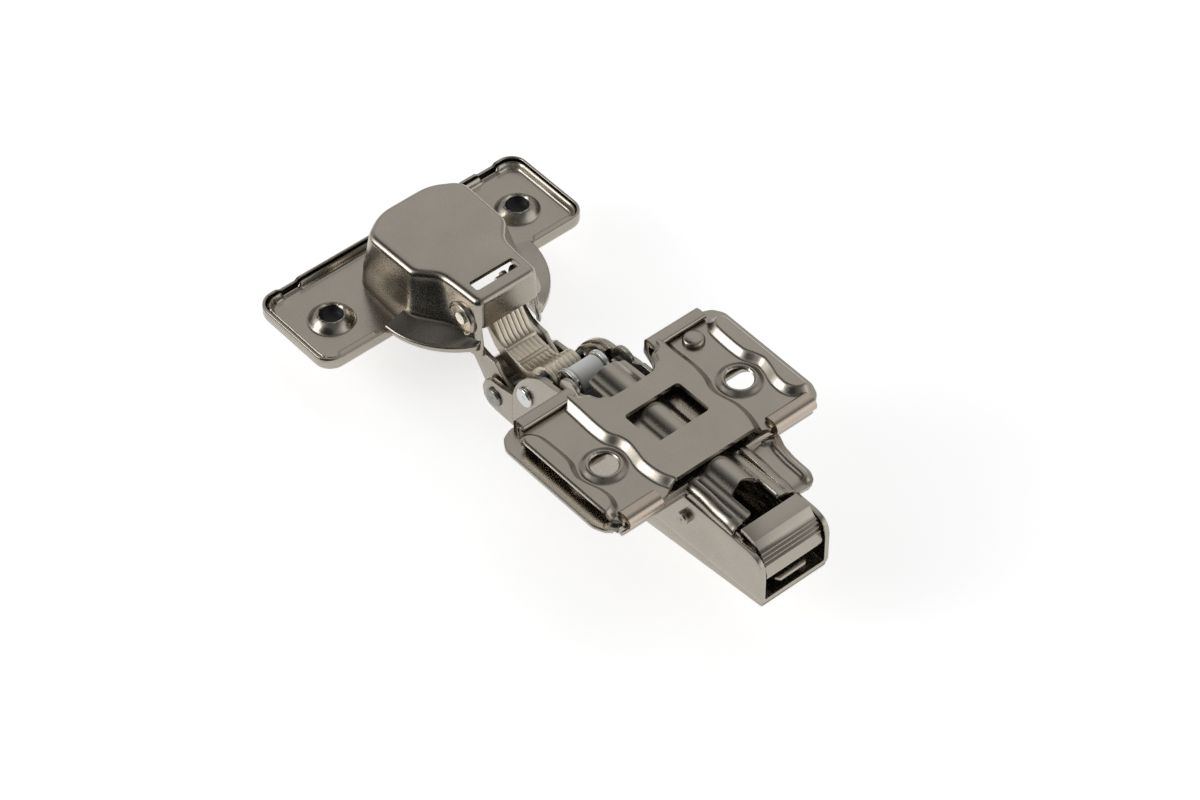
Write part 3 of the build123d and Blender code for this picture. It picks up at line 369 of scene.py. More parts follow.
def plated_steel(name, light, dark, roughness, grain_mm, bump, stain_mm=9.0):
    """Plated pressed steel: a mottled metal colour, fine satin grain and slow wander of gloss."""
    material, tree, shader = shader_material(name)
    place = add_node(tree, "ShaderNodeTexCoord").outputs["Object"]
    stain = add_node(tree, "ShaderNodeTexNoise", Vector=place, Scale=1000 / stain_mm,
                     Detail=4.0, Roughness=0.62)
    grain = add_node(tree, "ShaderNodeTexNoise", Vector=place, Scale=1000 / grain_mm,
                     Detail=2.0, Roughness=0.6)
    colour = add_node(tree, "ShaderNodeMix", {"data_type": "RGBA"}, i0=stain.outputs[0])
    colour.inputs[6].default_value = hex_linear(dark)
    colour.inputs[7].default_value = hex_linear(light)
    spread = add_node(tree, "ShaderNodeMapRange", None, Value=grain.outputs[0], From_Min=0.3, From_Max=0.7,
                      To_Min=roughness - 0.03, To_Max=roughness + 0.04)
    pits = add_node(tree, "ShaderNodeBump", None, Height=grain.outputs[0], Strength=bump, Distance=0.0001)
    tree.links.new(colour.outputs[2], shader.inputs["Base Color"])
    tree.links.new(spread.outputs[0], shader.inputs["Roughness"])
    tree.links.new(pits.outputs[0], shader.inputs["Normal"])
    shader.inputs["Metallic"].default_value = 1.0
    return material


def moulded_plastic(name, colour, roughness, grain_mm=0.35, bump=0.15):
    """Moulded plastic: one colour with the fine matte texture of the tool."""
    material, tree, shader = shader_material(name)
    place = add_node(tree, "ShaderNodeTexCoord").outputs["Object"]
    grain = add_node(tree, "ShaderNodeTexNoise", Vector=place, Scale=1000 / grain_mm,
                     Detail=2.0, Roughness=0.5)
    tone = add_node(tree, "ShaderNodeMix", {"data_type": "RGBA"}, i0=grain.outputs[0])
    base = np.array(hex_linear(colour))
    tone.inputs[6].default_value = tuple((base * [0.93, 0.93, 0.93, 1]).tolist())
    tone.inputs[7].default_value = tuple(base.tolist())
    pits = add_node(tree, "ShaderNodeBump", None, Height=grain.outputs[0], Strength=bump, Distance=0.0001)
    tree.links.new(tone.outputs[2], shader.inputs["Base Color"])
    tree.links.new(pits.outputs[0], shader.inputs["Normal"])
    shader.inputs["Roughness"].default_value = roughness
    shader.inputs["Specular IOR Level"].default_value = 0.5
    return material


# Satin nickel over pressed steel: a warm grey that blurs what it mirrors
NICKEL = plated_steel("satin_nickel_plate", "#B3ACA1", "#A19A8F", 0.25, 0.3, 0.03)
# The same plating on stamped link plates, lighter and a little more yellow
LINK_NICKEL = plated_steel("link_nickel_plate", "#E4DAC9", "#D2C6B2", 0.34, 0.3, 0.04)
# Bright zinc on turned pins
ZINC = plated_steel("bright_zinc_plate", "#DFE0DE", "#CBCCCA", 0.18, 0.3, 0.03)
# Greyed zinc on the lower pivot's rivet
SLATE_PIN = plated_steel("grey_zinc_plate", "#A4A29E", "#8F8D89", 0.27, 0.3, 0.03)
# Copper glow where the plating is thin on the rolled edges
COPPER = plated_steel("thin_nickel_over_copper", "#C4B6A8", "#B3A598", 0.26, 0.3, 0.03)
# Oiled spring steel and the slate coloured rods
SLATE = plated_steel("oiled_spring_steel", "#5A6168", "#40464D", 0.34, 0.3, 0.05)
# Acetal roller, milk white
ACETAL = moulded_plastic("white_acetal", "#EDEDEA", 0.35)
# Nylon housings inside the arm; the same black also fills the wing screw holes as painted shade
NYLON = moulded_plastic("black_nylon", "#26262A", 0.5)

slot_finish = {"link_steel": LINK_NICKEL, "zinc": ZINC, "burnished": SLATE, "white_plastic": ACETAL,
               "dark_plastic": NYLON}
for node_name, cad_piece in frame["nodes"].items():
    slot_name = next(s["material_slot"] for s in frame["record"]["subparts"] if s["node"] == node_name)
    cad_piece.data.materials.clear()
    cad_piece.data.materials.append(slot_finish.get(slot_name, NICKEL))


# Base plate: an H and two ridges pressed up from the recess
RECESS = 1.5
PLATE_SHEET = 0.9
SCREW_PITCH = 32.0
SCREW_HOLE = 2.6
CAM_X = -12.8
CAM_Y = 16.4
CAM_HOLE = 1.8
plate_outline = soften(both_sides([
    (11.3, 0), (11.3, 10.6), (12.3, 12.0), (12.3, 22.4), (9.8, 23.9), (6.0, 24.0), (-12.8, 24.0),
    (-14.6, 22.9), (-17.0, 21.4), (-17.0, 9.5), (-14.95, 9.1), (-14.5, 7.6), (-12.4, 6.6), (-10.8, 5.3),
    (-10.6, 0)]), 1.0)
h_top = soften([
    (-20.0, -10.7), (-12.5, -10.8), (-7.9, -11.0), (-4.7, -10.9), (-2.8, -9.8), (-0.6, -9.4), (1.8, -9.8),
    (4.4, -10.4), (6.8, -10.3), (9.0, -9.9), (10.8, -9.0), (20.0, -8.4), (20.0, 8.8), (11.6, 8.8), (9.6, 9.7),
    (6.9, 10.3), (4.3, 10.3), (2.2, 9.8), (0.1, 9.3), (-2.1, 9.6), (-3.8, 10.4), (-7.1, 10.9), (-9.9, 10.8),
    (-12.1, 10.7), (-20.0, 10.7)], 1.0)
ridge_top = soften([
    (-13.4, 22.4), (-12.2, 21.3), (-9.9, 21.1), (-6.8, 21.0), (-4.2, 21.1), (-2.6, 21.9), (-0.5, 22.6),
    (1.9, 22.1), (4.5, 21.2), (6.7, 21.1), (8.2, 21.7), (8.9, 23.0), (8.9, 30.0), (-13.4, 30.0)], 0.9)
window = slot_outline(-1.55, 0, 4.35, 6.4, 0.8)


def plate_height(x, y):
    """The recess, H and ridges: each rises over its flank. A low cone stands round each screw hole."""
    h = rise(nearest(h_top, x, y)[0] + 2.0, 2.0, 0.16)
    ridge = rise(nearest(ridge_top, x, np.abs(y))[0] + 1.8, 1.8, 0.16)
    border = nearest(plate_outline, x, y)[0]
    z = -RECESS + RECESS * np.maximum(h, ridge)
    z -= 0.3 * (1 - rise(border, 0.5)) * (np.abs(y) > 22.5)
    front_lobe = (x < -12.0) & (np.abs(y) < 13)
    z -= 0.5 * (1 - rise(border, 1.0)) * front_lobe
    radius = np.hypot(x, np.abs(y) - SCREW_PITCH / 2)
    return z + 0.85 * rise(4.7 - radius, 1.7, 0.2) - 0.4 * rise(3.0 - radius, 0.45)


plate_holes = [ring(0, s * SCREW_PITCH / 2, SCREW_HOLE) for s in (1, -1)] + [ring(CAM_X, CAM_Y, CAM_HOLE)]
base = pressed_sheet("base_sheet", plate_outline, [window] + plate_holes, plate_height, 0.22, NICKEL)
finish_mesh(base, thick(PLATE_SHEET), eased(0.14, 50))
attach(base, "base")
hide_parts("base_plate")

# Carriage plate: a flat sheet pressed up into the arch along its middle
CARRIAGE_TOP = -2.45
ARCH_RADIUS = 4.6
ARCH_CREST = -1.1


def arch_height(x, y):
    """The arch: a round of radius 4.6 that bends softly into the flat, as the log of summed exponentials."""
    round_z = ARCH_CREST - ARCH_RADIUS + np.sqrt(np.maximum(ARCH_RADIUS**2 - y**2, 0))
    round_z = np.where(np.abs(y) < ARCH_RADIUS, round_z, -8.0)
    shelf = np.where(x > 12.0, CARRIAGE_TOP - 1.0 * rise(np.abs(y) - 4.0, 2.8), CARRIAGE_TOP)
    k = 4.0
    return np.log(np.exp(k * round_z) + np.exp(k * shelf)) / k


carriage_outline = soften(np.vstack([
    both_sides([
        (24.6, 3.2), (24.6, 6.8), (13.0, 6.8), (12.6, 9.0), (12.6, 22.6), (10.8, 25.0), (8.4, 26.0),
        (-15.2, 26.0), (-17.3, 24.7), (-18.3, 22.4), (-18.3, 8.8), (-14.2, 7.6), (-12.4, 6.4), (-11.4, 4.6),
        (-18.2, 4.3)]),
    [(19.2, -3.2), (18.2, 0.0), (19.2, 3.2)]]), 0.7)
height_slot = slot_outline(-11.25, CAM_Y, 3.45, 2.75, 2.70)
screw_slots = [slot_outline(0, s * SCREW_PITCH / 2, 2.6, 4.6, 2.55) for s in (1, -1)]
carriage = pressed_sheet("carriage_sheet", carriage_outline, screw_slots + [height_slot], arch_height, 0.3,
                         NICKEL)
finish_mesh(carriage, thick(PLATE_SHEET), eased(0.14, 50))


def folded_edge(name, section, low_y, high_y, material, ease=0.35):
    """A folded edge along Y: its XZ section carried from low to high y, its ends eased by a quarter round."""
    p = np.asarray(section, float)
    middle = p.mean(0)
    shrink = 0.22
    rows = [(low_y + ease * (1 - math.sin(q)), 1 - shrink * (1 - math.cos(math.pi / 2 - q)))
            for q in np.linspace(0, math.pi / 2, 5)]
    rows += [(high_y - (y - low_y), k) for y, k in rows[::-1]]
    points = np.stack([np.column_stack([middle[0] + (p[:, 0] - middle[0]) * k, np.full(len(p), y),
                                        middle[1] + (p[:, 1] - middle[1]) * k]) for y, k in rows])
    n = len(p)
    ends = [list(range(n)), [(len(rows) - 1) * n + k for k in range(n)]]
    faces = grid_faces(len(rows), n, False, True).tolist() + ends
    piece = make_mesh(name, points.reshape(-1, 3), faces, material)
    recalculate(piece)
    return crisp(piece, 50)


hem_section = soften([
    (-18.3, -3.3), (-18.3, -0.9), (-17.9, -0.25), (-16.9, -0.05), (-15.5, -0.2), (-15.2, -0.6),
    (-15.4, -1.3), (-17.0, -1.4), (-17.0, -3.3)], 0.4, 5)
roll_section = soften([
    (12.55, -3.3), (13.5, -2.4), (13.65, -1.3), (13.1, -0.45), (12.2, -0.1), (10.9, -0.15),
    (10.2, -0.6), (10.1, -1.4), (12.3, -1.45), (12.35, -3.3)], 0.4, 5)
folds = []
for side in (1, -1):
    low_hem, high_hem = sorted((side * 9.2, side * 21.5))
    folds.append(folded_edge("hem", hem_section, low_hem, high_hem, NICKEL))
    low_roll, high_roll = sorted((side * (12.9 if side > 0 else 13.8), side * (22.4 if side > 0 else 21.6)))
    folds.append(folded_edge("roll", roll_section, low_roll, high_roll, COPPER))

# Saddle: the arch's rear shelves with their walls, the front hooks, and the flap on one side
def shelf_edge(side):
    """The bend from a shelf into its wall: a quarter round of radius 1.2 at half-width 6.8, then straight."""
    turn = np.linspace(0, np.pi / 2, 6)
    across = np.concatenate([[5.2], 5.6 + 1.2 * np.sin(turn), [6.8, 6.8]])
    rows = []
    for x in np.linspace(11.5, 24.6, 24):
        crown = -2.9 - 0.55 * rise(x - 15.0, 6.0) - 0.5 * rise(x - 22.0, 2.6)
        foot = -8.0 + 1.2 * rise(x - 23.4, 1.2)
        down = np.concatenate([[crown + 0.06], crown - 1.2 * (1 - np.cos(turn)), [-5.5, foot]])
        rows.append(np.column_stack([np.full(len(across), x), side * across, down]))
    piece = surface("shelf", np.stack(rows), NICKEL, flip=side > 0)
    return finish_mesh(piece, thick(0.85), eased(0.12, 50))


def hook_plate(side):
    """A front hook: a round ear of radius 2.9 with the notch that the arm's stub clips into."""
    centre_x, centre_z, radius = -20.3, -5.6, 2.9
    a = np.radians(np.linspace(205, 30, 20))
    ear = np.stack([centre_x + radius * np.cos(a), centre_z + radius * np.sin(a)], 1)
    outline = np.vstack([ear, [
        (-15.2, -2.6), (-8.0, -2.6), (-8.0, -3.4), (-11.0, -4.4), (-15.4, -8.6), (-19.6, -8.9), (-20.0, -8.4),
        (-20.1, -7.2), (-20.6, -6.6), (-21.6, -6.6), (-22.1, -7.2), (-22.1, -8.6), (-22.8, -8.9)]])
    low, high = sorted((side * 5.95, side * 6.8))
    piece = prism("hook", soften(outline, 0.25, 3), 1, low, high, NICKEL)
    return crisp(finish_mesh(piece, eased(0.18, 30, 3)), 50)


FLAP_TOP = -3.75
flap_outline = soften([
    (8.6, 5.4), (9.5, 8.6), (11.3, 11.0), (12.2, 13.9), (13.2, 13.9), (15.5, 12.9), (18.8, 12.4),
    (22.9, 12.3), (24.7, 11.6), (25.2, 10.2), (25.0, 7.4), (24.2, 6.2), (22.0, 5.0)], 0.8)


def flap_height(x, y):
    """The flap: nearly level, with its outer edge pressed up into a ridge and its rear lobe turned down."""
    border = nearest(flap_outline, x, y)[0]
    ridge = 0.55 * rise(1.3 - np.abs(border - 1.5), 1.2) * rise(y - 9.0, 2.0)
    inner = 0.35 * rise(8.0 - y, 3.0)
    rear = 0.5 * rise(x - 22.6, 2.6)
    front = 0.5 * rise(12.0 - x, 2.5) * rise(y - 10, 3)
    return FLAP_TOP + ridge + inner - rear - front


flap = pressed_sheet("flap", flap_outline, [], flap_height, 0.25, NICKEL)
finish_mesh(flap, thick(0.85), eased(0.13, 50))
saddle = [make(side) for make in (shelf_edge, hook_plate) for side in (1, -1)]
carriage = join("carriage_pressing", [carriage, flap] + folds + saddle)
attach(carriage, "carriage")
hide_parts("carriage_plate")

# Cup: a pot with a neck, a flange disc on the arm's side and a wing tray, drawn from one sheet
CUP_X = -60.9
CUP_TOP = -1.9
SKIRT_TOP = -10.7
TRAY_FLOOR = -14.9
MOUTH_X = -45.3
DISC_RADIUS = 17.5
WING_SCREW_X = -70.4
WING_SCREW_Y = 22.5
# Corners of the pot's flat facets, at its top edge and at the wall's foot
top_edge = [
    (-15.7, 0), (-15.7, 6.0), (-12.2, 11.6), (1.0, 11.35), (4.9, 7.8), (9.5, 7.45), (15.5, 7.2), (15.5, 0)]
wall_foot = [
    (-16.6, 0), (-16.6, 7.0), (-13.4, 12.2), (2.2, 13.05), (8.2, 9.0), (11.0, 7.9), (15.9, 7.5), (15.9, 0)]
# How far each corner's round reaches along its edges, the same on both sides
corner_reach = [1.5, 2.9, 2.2, 1.4, 1.6, 1.6, 2.1, 0.5]
corner_reach += corner_reach[-2:0:-1]
POT_EDGE = 1.35


def facet_line(corners):
    """An outline of the pot with every corner softened, and each stretch between its points cut in three."""
    line = soften(both_sides(corners), corner_reach)
    closed = np.vstack([line, line[:1]])
    at = np.arange(3 * len(line)) / 3
    return np.stack([np.interp(at, np.arange(len(closed)), closed[:, k]) for k in (0, 1)], 1)


def pot_level(blend, inset, z):
    """A closed line round the pot: top edge and wall's foot mixed by blend, then moved in by the inset."""
    p = facet_line(top_edge) * (1 - blend) + facet_line(wall_foot) * blend
    along = np.roll(p, -1, 0) - np.roll(p, 1, 0)
    inward = np.stack([along[:, 1], -along[:, 0]], 1) / np.linalg.norm(along, axis=1, keepdims=True)
    inward = sum(np.roll(inward, k, 0) for k in range(-3, 4)) / 7
    p = p + inward * inset
    return np.column_stack([CUP_X + p[:, 0], p[:, 1], np.full(len(p), z)])


pot_levels = [pot_level(1.0, -0.1 - 0.4 * k, SKIRT_TOP - k * 4.4) for k in (1.0, 0.5, 0.0)]
wall_height = CUP_TOP - POT_EDGE - SKIRT_TOP
pot_levels += [pot_level(b, 0.0, SKIRT_TOP + (1 - b) * wall_height) for b in np.linspace(0.85, 0.0, 7)]
for turn in np.linspace(0, np.pi / 2, 8)[1:]:
    inset, drop = POT_EDGE * (1 - math.cos(turn)), POT_EDGE * (1 - math.sin(turn))
    pot_levels.append(pot_level(0.0, inset, CUP_TOP - drop))
for share in (0.08, 0.3, 0.6, 0.85, 1.0):
    last = pot_level(0.0, POT_EDGE, CUP_TOP)
    last[:, :2] += share * ([CUP_X, 0.0] - last[:, :2])
    last[:, 2] += 0.12 * share
    pot_levels.append(last)
pot = surface("pot", np.stack(pot_levels), NICKEL, wrap_columns=True)
recalculate(pot)
finish_mesh(pot, thick(0.9, even=False))


def mouth_cutter(name):
    """The room for the links under the neck: open towards the arm, below the front wall."""
    side = [(-47.6, -8.5), (-30.0, -8.5), (-30.0, -30.0), (-47.6, -30.0)]
    return prism(name, side, 1, -6.6, 6.6)


slot_cutter = prism("slot_cutter", slot_outline(-49.7, 0, 1.3, 5.1, 0.5), 2, -6.0, 3.0)
floor_cutter = prism("floor_cutter", [(-90, -40), (-30, -40), (-30, 40), (-90, 40)], 2, -40.0,
                     TRAY_FLOOR - 0.7)
cut(pot, mouth_cutter("mouth_cutter"), slot_cutter, floor_cutter)
finish_mesh(pot, eased(0.12, 45))


def flange_sector(name, side):
    """The skirt and disc on one side.

    A small fillet at the wall's foot, 0.5 (1 - t)^16 high, then an even slope out to the disc's radius, round
    the edge and back underneath.
    """
    count = 40
    steps = np.linspace(0, 1, count)
    foot = smooth_line([(15.9, 7.0), (13.2, 7.65), (11.0, 7.95), (8.3, 9.0), (5.2, 11.1), (2.5, 12.9),
                        (0.4, 13.0)], 8, False)
    pace = np.linspace(0, 1, len(foot))
    foot = np.stack([np.interp(steps, pace, foot[:, k]) for k in (0, 1)], 1)
    angle = np.radians(26.8 + 62.0 * steps)
    rim = DISC_RADIUS * np.stack([np.cos(angle), np.sin(angle)], 1)
    out = (rim - foot) / np.maximum(np.linalg.norm(rim - foot, axis=1, keepdims=True), 0.3)
    rows = []
    for t in np.linspace(0, 1, 18)**1.5:
        plan = foot - 0.5 * out * (1 - t) + (rim - 0.35 * out - foot) * t
        rows.append(np.column_stack([plan, np.full(count, -12.25 + 1.45 * (1 - t) + 0.5 * (1 - t)**16)]))
    edge = ((0.12, -12.33), (0.0, -12.55), (0.0, -13.3), (0.12, -13.52), (0.35, -13.6), (1.2, -13.6),
            (1.3, -13.1))
    for reach, z in edge:
        rows.append(np.column_stack([rim - reach * out, np.full(count, z)]))
    rows.append(np.column_stack([foot + 0.2 * out, np.full(count, -12.4)]))
    points = np.stack(rows, 1)
    points[..., 0] = np.minimum(points[..., 0] + CUP_X, MOUTH_X)
    points[..., 1] *= side
    n = len(rows)
    ends = [list(range(n)), [(count - 1) * n + k for k in range(n)]]
    faces = grid_faces(count, n, False, True).tolist() + ends
    piece = make_mesh(name, points.reshape(-1, 3), faces, NICKEL)
    recalculate(piece)
    return crisp(piece, 50)


tray_outline = slot_outline(-70.9, 0, 10.0, 30.4, 3.0)
tray_screws = [ring(WING_SCREW_X, s * WING_SCREW_Y, 2.25) for s in (1, -1)]
pot_hole = pot_level(1.0, 0.2, 0)[:, :2]
DOME_BALL = 4.95


def tray_height(x, y):
    """The wing tray: a flat floor, a rim 0.9 mm wide, and a ball-shaped dome round each screw hole.

    Floor and dome meet softly, as the log of summed exponentials.
    """
    border = nearest(tray_outline, x, y)[0]
    notch = 0.7 * rise(1.0 - np.abs((np.abs(y) - 24.0) / 2.4), 0.3) * (x < -79.0)
    z = TRAY_FLOOR + 1.5 * (1 - notch) * (1 - rise(border, 0.9))
    z = z + 0.75 * (1 - rise(-nearest(pot_hole, x, y)[0] + 0.2, 1.0)) ** 2
    radius = np.hypot(x - WING_SCREW_X, np.abs(y) - WING_SCREW_Y)
    mouth = 0.6 * (1 - rise(radius - 2.2, 0.45))
    ball = TRAY_FLOOR - 2.18 + np.sqrt(np.maximum(DOME_BALL**2 - radius**2, 0)) - mouth
    k = 6
    blend = np.log(np.exp(k * (z - TRAY_FLOOR)) + np.exp(k * (ball - TRAY_FLOOR - 0.12))) / k
    return blend + TRAY_FLOOR - 0.07


tray = pressed_sheet("tray", tray_outline, tray_screws + [pot_hole], tray_height, 0.25, NICKEL)
finish_mesh(tray, thick(0.75), eased(0.12, 55))


def neck_boss(name, side):
    """The flared eyelet round the cup pin's end: ovals of 3.7 by 3.5, times k, at a height h off the neck."""
    a = np.linspace(0, 2 * np.pi, 48, endpoint=False)
    rows = [(1.06, -0.8), (1.0, 0.0), (0.98, 0.55), (0.93, 0.92), (0.87, 1.0), (0.81, 0.9), (0.78, 0.55),
            (0.76, -0.1), (0.7, -0.25), (0.4, -0.25)]
    points = np.stack([np.column_stack([-49.8 + 3.7 * k * np.cos(a), np.full(48, side * (7.35 + h)),
                                        -8.4 + 3.5 * k * np.sin(a)]) for k, h in rows])
    piece = surface(name, points, NICKEL, wrap_columns=True)
    recalculate(piece)
    return piece


cup = join("cup_shell", [pot, tray, flange_sector("disc_left", -1), flange_sector("disc_right", 1),
                         neck_boss("boss_left", -1), neck_boss("boss_right", 1)])
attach(cup, "cup")
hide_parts("cup")

# Black plugs inside the wing screw holes: painted shade that keeps the holes dark
hole_shade_profile = [(2.7, -1.6), (2.6, -0.2), (2.45, 0.0), (2.3, -0.2), (2.2, -1.0), (1.0, -1.2),
                  (0.0, -1.2), (0.0, -1.6)]
for side in (1, -1):
    hole_shade_place = (WING_SCREW_X, side * WING_SCREW_Y, TRAY_FLOOR + 1.05)
    hole_shade = lathe("screw_hole_shade", hole_shade_profile, hole_shade_place, 2, NYLON, 32)
    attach(hole_shade, "cup")

# Wing cover: a thin tray whose rim is crimped over the wings
COVER_X = -71.2
COVER_FLOOR = -15.56
COVER_HOLE = 1.1
cover_outline = slot_outline(COVER_X, 0, 11.0, 31.5, 3.6, 10)


def rim_band(name, outline, profile, material):
    """A closed profile of (inset, height) carried round a closed outline. Both may vary along the outline."""
    along = np.roll(outline, -1, 0) - np.roll(outline, 1, 0)
    inward = np.stack([-along[:, 1], along[:, 0]], 1) / np.linalg.norm(along, axis=1, keepdims=True)
    loops = []
    for inset, z in profile:
        plan = outline + inward * np.reshape(inset, (-1, 1))
        loops.append(np.column_stack([plan, np.broadcast_to(z, len(outline))]))
    piece = surface(name, np.stack(loops, 1), material, wrap_rows=True, wrap_columns=True)
    recalculate(piece)
    return piece


rim_line = fine_outline(cover_outline, 0.5)
near_edge = rim_line[:, 0] > -60.6
under_disc = near_edge * rise(17.9 - np.abs(rim_line[:, 1]), 0.8)
crimp = near_edge * rise(np.abs(rim_line[:, 1]) - 18.4, 0.8) * rise(28.6 - np.abs(rim_line[:, 1]), 0.8)
notch = (rim_line[:, 0] < -82.0) * rise(1.0 - np.abs((np.abs(rim_line[:, 1]) - 24.0) / 2.6), 0.3)
rim_top = -13.2 - 0.75 * under_disc - 0.5 * notch
cover_rim = rim_band("cover_rim", rim_line, [
    (1.4, -16.1), (0.75, -16.1), (0.35, -15.98), (0.08, -15.7), (0.0, -15.3), (0.0, rim_top - 0.35),
    (0.06, rim_top - 0.12), (0.22, rim_top), (0.45 + 0.9 * crimp, rim_top - 0.02),
    (0.6 + 0.95 * crimp, rim_top - 0.15), (0.56 + 0.9 * crimp, rim_top - 0.3 + 0.05 * crimp),
    (0.52, rim_top - 0.4), (0.52, -15.2), (0.7, -15.5), (1.4, -15.55)], NICKEL)
# The inner link swings through the near edge when the door is shut
link_room = prism("link_room", [(-63.5, -15.0), (-55.0, -15.0), (-55.0, 15.0), (-63.5, 15.0)], 2,
                  -18.0, -12.0)
cut(cover_rim, link_room)
cover_holes = [ring(WING_SCREW_X, s * WING_SCREW_Y, COVER_HOLE) for s in (1, -1)]
cover_floor = pressed_sheet("cover_floor", slot_outline(COVER_X, 0, 9.8, 30.3, 2.6),
                            [pot_level(1.0, 0.4, 0)[:, :2]] + cover_holes,
                            lambda x, y: COVER_FLOOR + 0 * x, 0.6, NICKEL)
finish_mesh(cover_floor, thick(0.53))
cover = join("crimped_wing_cover", [cover_rim, cover_floor])
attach(cover, "cup")
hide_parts("wing_cover")

# Arm: a channel with a round bend between web and walls
ARM_REAR = 32.86
ARM_FRONT = -35.2
ARM_HALF_WIDTH = 8.0
# Heights of the web and of the cover cap's line at the arm's rear, and how far each falls per mm of length
WEB_REAR, WEB_SLOPE = -16.2, 0.0464
CAP_REAR, CAP_SLOPE = -17.6, 0.119


def arm_web(x):
    """Underside of the web: a gentle slope behind the crank, then a step down to the cover cap's line."""
    behind = WEB_REAR - (ARM_REAR - x) * WEB_SLOPE
    ahead = CAP_REAR - (ARM_REAR - x) * CAP_SLOPE
    return max(behind + (ahead - behind) * rise(-16.0 - x, 4.0), -25.25)


def arm_wall_top(x):
    """Upper edge of the walls: level, round at the rear, and curving down to the upper pivot at the front."""
    line = smooth_line([
        (-35.2, -17.0), (-34.5, -14.7), (-32.9, -11.6), (-30.1, -8.6), (-27.3, -6.9), (-22.5, -6.1),
        (-19.0, -5.1), (-12.0, -5.0), (10.0, -5.0), (27.0, -5.0), (29.6, -5.1), (31.4, -5.7), (32.4, -6.8),
        (32.9, -8.8)], 6, False)
    return np.interp(x, line[:, 0], line[:, 1])


stations = np.concatenate([
    np.linspace(ARM_REAR, 28.0, 16), np.linspace(27.0, -14.0, 24), np.linspace(-15.0, ARM_FRONT, 40)])
bend = 1.3
quarter = np.linspace(0, np.pi / 2, 6)
arm_rows = []
for x in stations:
    web, crown = arm_web(x), arm_wall_top(x)
    wall = [(-ARM_HALF_WIDTH, z) for z in np.linspace(crown, web + bend, 8)[:-1]]
    corner = [(-ARM_HALF_WIDTH + bend * (1 - math.cos(q)), web + bend * (1 - math.sin(q))) for q in quarter]
    half = np.array(wall + corner + [(-3.0, web)])
    section = np.vstack([half, (half * [-1, 1])[::-1]])
    arm_rows.append(np.column_stack([np.full(len(section), x), section]))
arm = surface("arm_shell", np.stack(arm_rows), NICKEL, flip=True)
finish_mesh(arm, thick(1.0, 1), eased(0.15, 50))
crisp(arm, 40)
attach(arm, "arm")
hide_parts("arm_channel")

# Small parts: the solids' own faces with their sharp edges rounded, as stamping and plating leave them
def flat_faces(piece):
    """Joins the triangles of each flat face into one face."""
    bm = bmesh.new()
    bm.from_mesh(piece.data)
    bmesh.ops.remove_doubles(bm, verts=bm.verts, dist=1e-6)
    bmesh.ops.dissolve_limit(bm, angle_limit=math.radians(0.5), verts=bm.verts, edges=bm.edges)
    bm.to_mesh(piece.data)
    bm.free()


bodies = {node: body for body, nodes in frame["record"]["behaviour"]["bodies"].items() for node in nodes}


def eased_solid(node, width_mm, extras=(), angle=32):
    """A copy of one solid with eased edges and, where the photograph shows more, its added forms."""
    solid = frame["nodes"][node]
    piece = bpy.data.objects.new(node + "_eased", solid.data.copy())
    bpy.context.scene.collection.objects.link(piece)
    flat_faces(piece)
    finish_mesh(piece, eased(width_mm, angle))
    crisp(piece, 40)
    if extras:
        piece = join(node + "_eased", [piece] + list(extras))
    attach(piece, bodies[node])
    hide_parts(node)
    return piece


def pin(node, x, z, shaft, head, proud, material):
    """A riveted pin across the arm: a shaft with an eased head on both ends and a small dimple in each."""
    half = [(0.0, proud - 0.22), (0.3, proud - 0.2), (0.55, proud - 0.02), (head - 0.35, proud),
            (head - 0.1, proud - 0.12), (head, proud - 0.35), (head, 0.03), (shaft, 0.02)]
    profile = [(r, ARM_HALF_WIDTH + h) for r, h in half] + [(r, -ARM_HALF_WIDTH - h) for r, h in half[::-1]]
    piece = lathe(node + "_turned", profile, (x, 0, z), 1, material)
    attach(piece, bodies[node])
    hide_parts(node)


ridge_profile = [(0.0, -3.55), (0.5, -3.55), (0.55, -3.4), (0.55, 3.4), (0.5, 3.55), (0.0, 3.55)]
ridges = [lathe("link_ridge", ridge_profile, (x, 0, z - 0.3), 1, LINK_NICKEL, 20)
          for x, z in ((-42.5, -13.8), (-38.6, -14.5))]
eased_solid("inner_link", 0.13, ridges)
stud_profile = [(0.0, -1.5), (2.1, -1.5), (2.15, -1.1), (2.0, -0.72), (1.7, -0.5), (1.0, -0.4),
                (0.0, -0.36)]
stud = lathe("stud", stud_profile, (CAM_X, 16.3, 0), 2, NICKEL)
eased_solid("height_cam", 0.1, [stud])
for node, width in (("release_lever", 0.13), ("outer_link", 0.16), ("front_bracket", 0.14),
                    ("arm_cover", 0.16), ("latch_tongue", 0.12), ("adapter_frame", 0.14),
                    ("roller", 0.2), ("roller_rings", 0.14), ("side_screw", 0.1),
                    ("depth_cam", 0.1), ("roller_slider", 0.12)):
    eased_solid(node, width)
RIVET_PROUD = 0.75
pin("lower_pivot_pin", -40.5, -21.8, 1.5, 1.95, RIVET_PROUD, SLATE_PIN)
pin("upper_pivot_pin", -31.4, -14.5, 1.8, 2.05, RIVET_PROUD, ZINC)
wall_pin_profile = [(0.0, 7.2), (1.3, 7.2), (1.3, 8.9), (1.15, 9.1), (0.55, 9.1), (0.35, 8.95), (0.0, 8.93)]
wall_pins = []
for side in (1, -1):
    wall_pins.append(lathe("wall_pin", [(r, side * h) for r, h in wall_pin_profile],
                           (12.8, 0, -9.5), 1, NICKEL, 32))
wall_pins = join("wall_pins", wall_pins)
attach(wall_pins, "arm")

